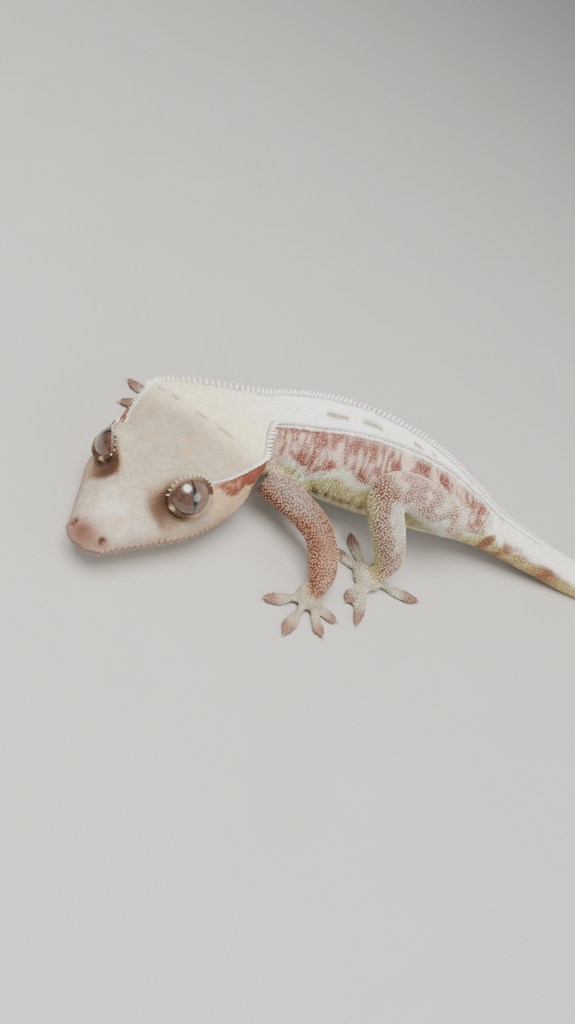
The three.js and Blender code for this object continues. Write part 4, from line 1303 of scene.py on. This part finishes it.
def eye_mesh(side):
    """A sphere 0.1 mm inside the solid eye, whose front bulges by 0.07 mm as a bell of the angle from the axis.
    Each vertex keeps that angle, split across and up the iris, in the attribute Iris."""
    polar, azimuth = sphere_grid(96, 128)
    radius = EYE_RADIUS - 0.1 + 0.07 * np.exp(-((polar / 0.6) ** 2))
    axis, forward, upward = eye_axes(side)
    flat_forward, flat_upward = np.sin(polar) * np.cos(azimuth), np.sin(polar) * np.sin(azimuth)
    ball = flat_forward[..., None] * forward + flat_upward[..., None] * upward + np.cos(polar)[..., None] * axis
    rings = ball * radius[..., None] + eye_centre(side)
    vertices, faces = closed_tube(from_head(rings))
    iris = np.stack([polar * np.cos(azimuth), polar * np.sin(azimuth), polar], -1).reshape(-1, 3)
    iris = np.concatenate([iris, [[0, 0, 0], [np.pi, 0, np.pi]]])
    mesh = triangle_mesh("eye_ball_" + ("left" if side > 0 else "right"), to_frame(vertices), faces)
    layer = mesh.attributes.new("Iris", "FLOAT_VECTOR", "POINT")
    layer.data.foreach_set("vector", iris.astype(np.float32).ravel())
    return mesh


def make_eyes(settings):
    """Both eyeballs, each in place of its solid."""
    material = eye_material(settings)
    for side in (-1, 1):
        piece = piece_from(eye_mesh(side), material)
        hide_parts("eye_left" if side > 0 else "eye_right")


def make_claws():
    """A small hooked cone at the tip of each toe: closed rings that narrow as 1 - 0.9 t and drop by t squared."""
    parts = []
    for leg in LEGS.values():
        for tip in leg["toes"]:
            _, ahead, side, _, _ = toe_line(leg["palm"], tip, np.array([0.0, 1.0]))
            t, turn = (values[..., None] for values in pairs(np.linspace(0, 1, 7), turns(8)))
            centre = np.array([*tip, 0.82]) + ahead * (1.05 * t - 0.45) - UP * 0.35 * t**2
            radius = 0.2 * (1 - 0.9 * t)
            parts.append(closed_tube(centre + radius * (side * np.cos(turn) + UP * np.sin(turn))))
    vertices, faces = joined(parts)
    piece = piece_from(triangle_mesh("claws", to_frame(vertices), faces), claw_material())


# Materials

def new_material(name):
    """A material's Principled node, and helpers that add a node, a colour mix, and roughness with bumps."""
    material = bpy.data.materials.new(name)
    material.use_nodes = True
    nodes, link = material.node_tree.nodes, material.node_tree.links.new
    shader = nodes["Principled BSDF"]

    def add(kind, inputs=None, **settings):
        node = nodes.new(kind)
        for key, value in settings.items():
            setattr(node, key, value)
        for key, value in (inputs or {}).items():
            if isinstance(value, bpy.types.NodeSocket):
                link(value, node.inputs[key])
            else:
                node.inputs[key].default_value = value
        return node

    def blend(share, first, second):
        return add("ShaderNodeMix", {"Factor": share, 6: first, 7: second}, data_type="RGBA").outputs[2]

    def finish(height, roughness, strength, distance=0.0001):
        rough = add("ShaderNodeMapRange", {"Value": height, "To Min": roughness[0], "To Max": roughness[1]})
        link(rough.outputs["Result"], shader.inputs["Roughness"])
        bumps = add("ShaderNodeBump", {"Height": height, "Strength": strength, "Distance": distance})
        link(bumps.outputs["Normal"], shader.inputs["Normal"])
        return material

    return material, shader, add, link, blend, finish


def paint(srgb):
    return (*linear(srgb), 1)


def hide_material(name, grain, grain_strength, roughness):
    """Skin: its Tint darkened and lightened by noise, uneven roughness, and bumps from fine cells and noise."""
    material, shader, add, link, _, _ = new_material(name)
    place = add("ShaderNodeTexCoord").outputs["Object"]
    colour = add("ShaderNodeAttribute", attribute_name="Tint").outputs["Color"]
    mottle = add("ShaderNodeTexNoise", {"Vector": place, "Scale": 1400.0, "Detail": 4.0}).outputs["Fac"]
    tone = add("ShaderNodeMapRange", {
        "Value": mottle, "From Min": 0.3, "From Max": 0.7, "To Min": 0.88, "To Max": 1.08})
    varied = add("ShaderNodeHueSaturation", {"Color": colour, "Value": tone.outputs["Result"]})
    link(varied.outputs["Color"], shader.inputs["Base Color"])
    wear = add("ShaderNodeTexNoise", {"Vector": place, "Scale": 500.0, "Detail": 3.0}).outputs["Fac"]
    rough = add("ShaderNodeMapRange", {
        "Value": wear, "To Min": roughness - 0.12, "To Max": roughness + 0.12})
    link(rough.outputs["Result"], shader.inputs["Roughness"])
    cells = add("ShaderNodeTexVoronoi", {"Vector": place, "Scale": grain}).outputs["Distance"]
    dip = add("ShaderNodeMath", {0: 0.5, 1: cells}, operation="SUBTRACT").outputs["Value"]
    first = add("ShaderNodeBump", {"Height": dip, "Strength": grain_strength, "Distance": 0.0001})
    second = add("ShaderNodeBump", {
        "Height": mottle, "Strength": 0.25, "Distance": 0.0001, "Normal": first.outputs["Normal"]})
    link(second.outputs["Normal"], shader.inputs["Normal"])
    shader.inputs["Specular IOR Level"].default_value = 0.4
    shader.inputs["Subsurface Weight"].default_value = 0.08
    shader.inputs["Subsurface Radius"].default_value = (0.0012, 0.0006, 0.0004)
    shader.inputs["Subsurface Scale"].default_value = 1.0
    return material


def eye_material(settings):
    """A glossy eye: a slit pupil that tapers and barely ripples, an iris netted with fine noise, paler to the
    rear, and a dark outer ring."""
    _, shader, add, link, blend, finish = new_material("eye")
    iris = add("ShaderNodeAttribute", attribute_name="Iris").outputs["Vector"]
    turned = add("ShaderNodeVectorRotate", {"Vector": iris, "Angle": settings.slit_turn},
                 rotation_type="Z_AXIS")
    parts = add("ShaderNodeSeparateXYZ", {"Vector": turned.outputs["Vector"]})
    across, along_slit = parts.outputs["X"], parts.outputs["Y"]

    def math(operation, a, b=0.0):
        return add("ShaderNodeMath", {0: a, 1: b}, operation=operation).outputs["Value"]

    ripple = math("MULTIPLY", math("SINE", math("MULTIPLY", along_slit, 34.0)), 0.006)
    taper = math("MULTIPLY", math("MULTIPLY", along_slit, along_slit), -0.12)
    width = math("ADD", math("ADD", taper, 0.085), ripple)
    edge = math("SUBTRACT", math("ABSOLUTE", across), width)
    pupil = add("ShaderNodeMapRange", {
        "Value": edge, "From Min": -0.008, "From Max": 0.012, "To Min": 1.0, "To Max": 0.0,
    }, interpolation_type="SMOOTHSTEP").outputs["Result"]
    stretched = add("ShaderNodeVectorMath", {0: iris, 1: (1.0, 1.0, 0.2)}, operation="MULTIPLY")
    veins = add("ShaderNodeTexNoise", {
        "Vector": stretched.outputs["Vector"], "Scale": 9.0, "Detail": 8.0, "Roughness": 0.65, "Distortion": 1.4,
    }).outputs["Fac"]
    net = add("ShaderNodeMapRange", {"Value": veins, "From Min": 0.35, "From Max": 0.65}).outputs["Result"]
    dark, pale = (paint(settings_colour(value)) for value in (settings.iris_dark, settings.iris_pale))
    colour = blend(net, dark, pale)
    rear = add("ShaderNodeMapRange", {"Value": across, "From Min": 0.1, "From Max": -0.6}).outputs["Result"]
    colour = blend(math("MULTIPLY", rear, 0.45), colour, paint((142, 122, 108)))
    polar = add("ShaderNodeSeparateXYZ", {"Vector": iris}).outputs["Z"]
    ring = add("ShaderNodeMapRange", {"Value": polar, "From Min": 0.72, "From Max": 0.9}).outputs["Result"]
    colour = blend(math("MULTIPLY", ring, 0.75), colour, paint((70, 42, 34)))
    link(blend(pupil, colour, (0.002, 0.002, 0.002, 1)), shader.inputs["Base Color"])
    shader.inputs["Coat Weight"].default_value = 1.0
    shader.inputs["Coat Roughness"].default_value = 0.03
    return finish(veins, (0.18, 0.3), 0.15)


def settings_colour(colour):
    """A colour property's sRGB bytes, from the 0 to 1 values it holds."""
    return np.array(colour[:3]) * 255


def grained_material(name, scale, detail, colours, roughness, strength, distance=0.0001):
    """Two colours, uneven roughness and bumps, all from one noise."""
    _, shader, add, link, blend, finish = new_material(name)
    place = add("ShaderNodeTexCoord").outputs["Object"]
    grain = add("ShaderNodeTexNoise", {"Vector": place, "Scale": scale, "Detail": detail}).outputs["Fac"]
    link(blend(grain, *map(paint, colours)), shader.inputs["Base Color"])
    return finish(grain, roughness, strength, distance)


def claw_material():
    """Dark horn, paler where the noise is high."""
    return grained_material("claw", 2200.0, 3.0, ((92, 74, 60), (176, 156, 132)), (0.25, 0.45), 0.2)


def floor_material():
    """Pale warm grey with a barely uneven finish."""
    return grained_material("floor", 60.0, 5.0, ((180, 177, 171), (188, 185, 179)), (0.6, 0.75), 0.05, 0.001)


# The stage

def camera_axes():
    """The photograph's right, up and toward-camera directions from its elevation, azimuth and roll."""
    elevation, azimuth, roll = CAMERA_TURNS
    flat = np.cos(elevation)
    toward = np.array([flat * np.sin(azimuth), flat * np.cos(azimuth), np.sin(elevation)])
    level = np.array([-np.cos(azimuth), np.sin(azimuth), 0])
    upright = np.cross(toward, level)
    right = level * np.cos(roll) + upright * np.sin(roll)
    return right, upright * np.cos(roll) - level * np.sin(roll), toward


def pose(thing, right, up, toward, place):
    """Turns an object so that its X, Y and Z lie along three directions, and places it."""
    turned = Matrix(np.stack([right, up, toward], 1).tolist()).to_4x4()
    turned.translation = place
    thing.matrix_world = turned


def make_camera():
    """A perspective camera whose focal length is FOCAL_PIXELS of the picture's height."""
    data = bpy.data.cameras.new("camera")
    data.sensor_width = SENSOR
    data.lens = FOCAL_PIXELS / PICTURE[1] * SENSOR
    data.clip_start, data.clip_end = 0.01, 10
    camera = placed("camera", data)
    pose(camera, *camera_axes(), to_frame(CAMERA_PLACE))
    bpy.context.scene.camera = camera


def make_light(name, place, aim, size, power, colour):
    """A disk light that shines from its place to its aim."""
    data = bpy.data.lights.new(name, "AREA")
    data.shape = "DISK"
    data.size = size
    data.energy = power
    data.color = colour
    toward = unit(np.array(place) - np.array(aim))
    side = unit(np.cross([0, 1, 0.01], toward))
    pose(placed(name, data), side, np.cross(toward, side), toward, place)


def make_stage(settings):
    """A pale floor, a broad key light over the head's side, a fill, and an even pale world."""
    ground = bpy.data.meshes.new("floor")
    half = settings.floor_size / 2
    corners = [(-half, -half, 0), (half, -half, 0), (half, half, 0), (-half, half, 0)]
    ground.from_pydata(corners, [], [(0, 1, 2, 3)])
    ground.materials.append(floor_material())
    floor = placed("floor", ground)
    make_light("key", (0.16, 0.10, 0.42), (0, 0, 0.01), 0.28, settings.key_power, (1.0, 0.97, 0.93))
    make_light("fill", (-0.3, 0.25, 0.28), (0, 0, 0.01), 0.35, settings.key_power * 0.3, (0.94, 0.97, 1.0))
    world = bpy.data.worlds.new("world")
    world.use_nodes = True
    background = world.node_tree.nodes["Background"]
    background.inputs["Color"].default_value = (0.9, 0.93, 1.0, 1)
    background.inputs["Strength"].default_value = settings.world_strength
    bpy.context.scene.world = world
    make_camera()


# The add-on

def length_property(name, description, default):
    return bpy.props.FloatProperty(
        name=name, description=description, default=default, min=0, precision=5, unit="LENGTH")


def number_property(name, description, default):
    return bpy.props.FloatProperty(name=name, description=description, default=default, min=0)


def count_property(name, description, default, least):
    return bpy.props.IntProperty(name=name, description=description, default=default, min=least)


def colour_property(name, description, srgb):
    return bpy.props.FloatVectorProperty(
        name=name, description=description, default=[value / 255 for value in srgb],
        subtype="COLOR_GAMMA", size=3, min=0, max=1)


class GeckoSettings(bpy.types.PropertyGroup):
    voxel: length_property("Skin grain", "Width of a voxel when the forms are fused into one skin", 0.00049)
    skin_depth: length_property("Skin depth", "How far the skin lies inside the solids", 0.00009)
    head_scale: length_property("Head scale", "Least distance between scales of the head", 0.00037)
    trunk_scale: length_property("Trunk scale", "Least distance between scales of the neck and trunk", 0.00037)
    tail_scale: length_property("Tail scale", "Least distance between scales of the tail", 0.00046)
    limbs_scale: length_property("Limb scale", "Least distance between scales of the limbs", 0.00041)
    feet_scale: length_property("Foot scale", "Least distance between scales of the feet", 0.00042)
    crest_height: length_property("Crest height", "Height of the tallest spines of the trunk's crests", 0.00108)
    crest_spines: count_property("Crest spines", "Spines in each row of the trunk", 84, 8)
    neck_spines: count_property("Neck spines", "Spines along the neck's longer edge", 24, 4)
    crown_spines: count_property("Crown spines", "Spines along each edge of the crown", 17, 4)
    lid_spines: count_property("Lid spines", "Spines over each eye", 13, 3)
    iris_dark: colour_property("Iris, dark", "Darker colour of the iris", (44, 27, 21))
    iris_pale: colour_property("Iris, pale", "Paler colour of the iris", (94, 66, 53))
    slit_turn: bpy.props.FloatProperty(
        name="Slit turn", description="Turn of the pupil's slit", default=0.0, unit="ROTATION")
    floor_size: length_property("Floor size", "Width of the floor", 3.0)
    key_power: number_property("Key light", "Power of the key light in watts", 4.4)
    world_strength: number_property("World", "Strength of the even light", 0.38)


class GECKO_OT_skin(bpy.types.Operator):
    """Builds the one skin over head, body, limbs and tail"""
    bl_idname = "gecko.skin"
    bl_label = "Skin"

    def execute(self, context):
        mesh = make_skin(context.scene.gecko)
        skin = piece_from(mesh, hide_material("hide", 2600.0, 0.5, 0.62))
        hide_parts(*NODES_OF_FLESH)
        return {"FINISHED"}


class GECKO_OT_scales(bpy.types.Operator):
    """Covers the skin in granular scales and lip plates"""
    bl_idname = "gecko.scales"
    bl_label = "Scales"

    def execute(self, context):
        make_scales(context.scene.gecko, hide_material("scale", 5200.0, 0.25, 0.5))
        return {"FINISHED"}


class GECKO_OT_crests(bpy.types.Operator):
    """Adds the spines of the crests and lids"""
    bl_idname = "gecko.crests"
    bl_label = "Crests"

    def execute(self, context):
        make_crests(context.scene.gecko, hide_material("crest", 4200.0, 0.2, 0.48))
        return {"FINISHED"}


class GECKO_OT_eyes(bpy.types.Operator):
    """Adds both eyes"""
    bl_idname = "gecko.eyes"
    bl_label = "Eyes"

    def execute(self, context):
        make_eyes(context.scene.gecko)
        return {"FINISHED"}


class GECKO_OT_claws(bpy.types.Operator):
    """Adds the claws"""
    bl_idname = "gecko.claws"
    bl_label = "Claws"

    def execute(self, context):
        make_claws()
        return {"FINISHED"}


class GECKO_OT_stage(bpy.types.Operator):
    """Sets the floor, lights and camera"""
    bl_idname = "gecko.stage"
    bl_label = "Stage"

    def execute(self, context):
        make_stage(context.scene.gecko)
        return {"FINISHED"}


OPERATORS = (GECKO_OT_skin, GECKO_OT_scales, GECKO_OT_crests, GECKO_OT_eyes, GECKO_OT_claws, GECKO_OT_stage)


class GECKO_PT_panel(bpy.types.Panel):
    """Lists the gecko's pieces and settings"""
    bl_label = "Gecko"
    bl_idname = "GECKO_PT_panel"
    bl_space_type = "VIEW_3D"
    bl_region_type = "UI"
    bl_category = "Gecko"

    def draw(self, context):
        for operator in OPERATORS:
            self.layout.operator(operator.bl_idname)
        for name in GeckoSettings.__annotations__:
            self.layout.prop(context.scene.gecko, name)


def register():
    for kind in (GeckoSettings, *OPERATORS, GECKO_PT_panel):
        bpy.utils.register_class(kind)
    bpy.types.Scene.gecko = bpy.props.PointerProperty(type=GeckoSettings)


def unregister():
    del bpy.types.Scene.gecko
    for kind in (GECKO_PT_panel, *reversed(OPERATORS), GeckoSettings):
        bpy.utils.unregister_class(kind)


def main():
    register()
    for operator in OPERATORS:
        name = operator.bl_idname.split(".")[1]
        getattr(bpy.ops.gecko, name)()


if __name__ == "__main__":
    main()
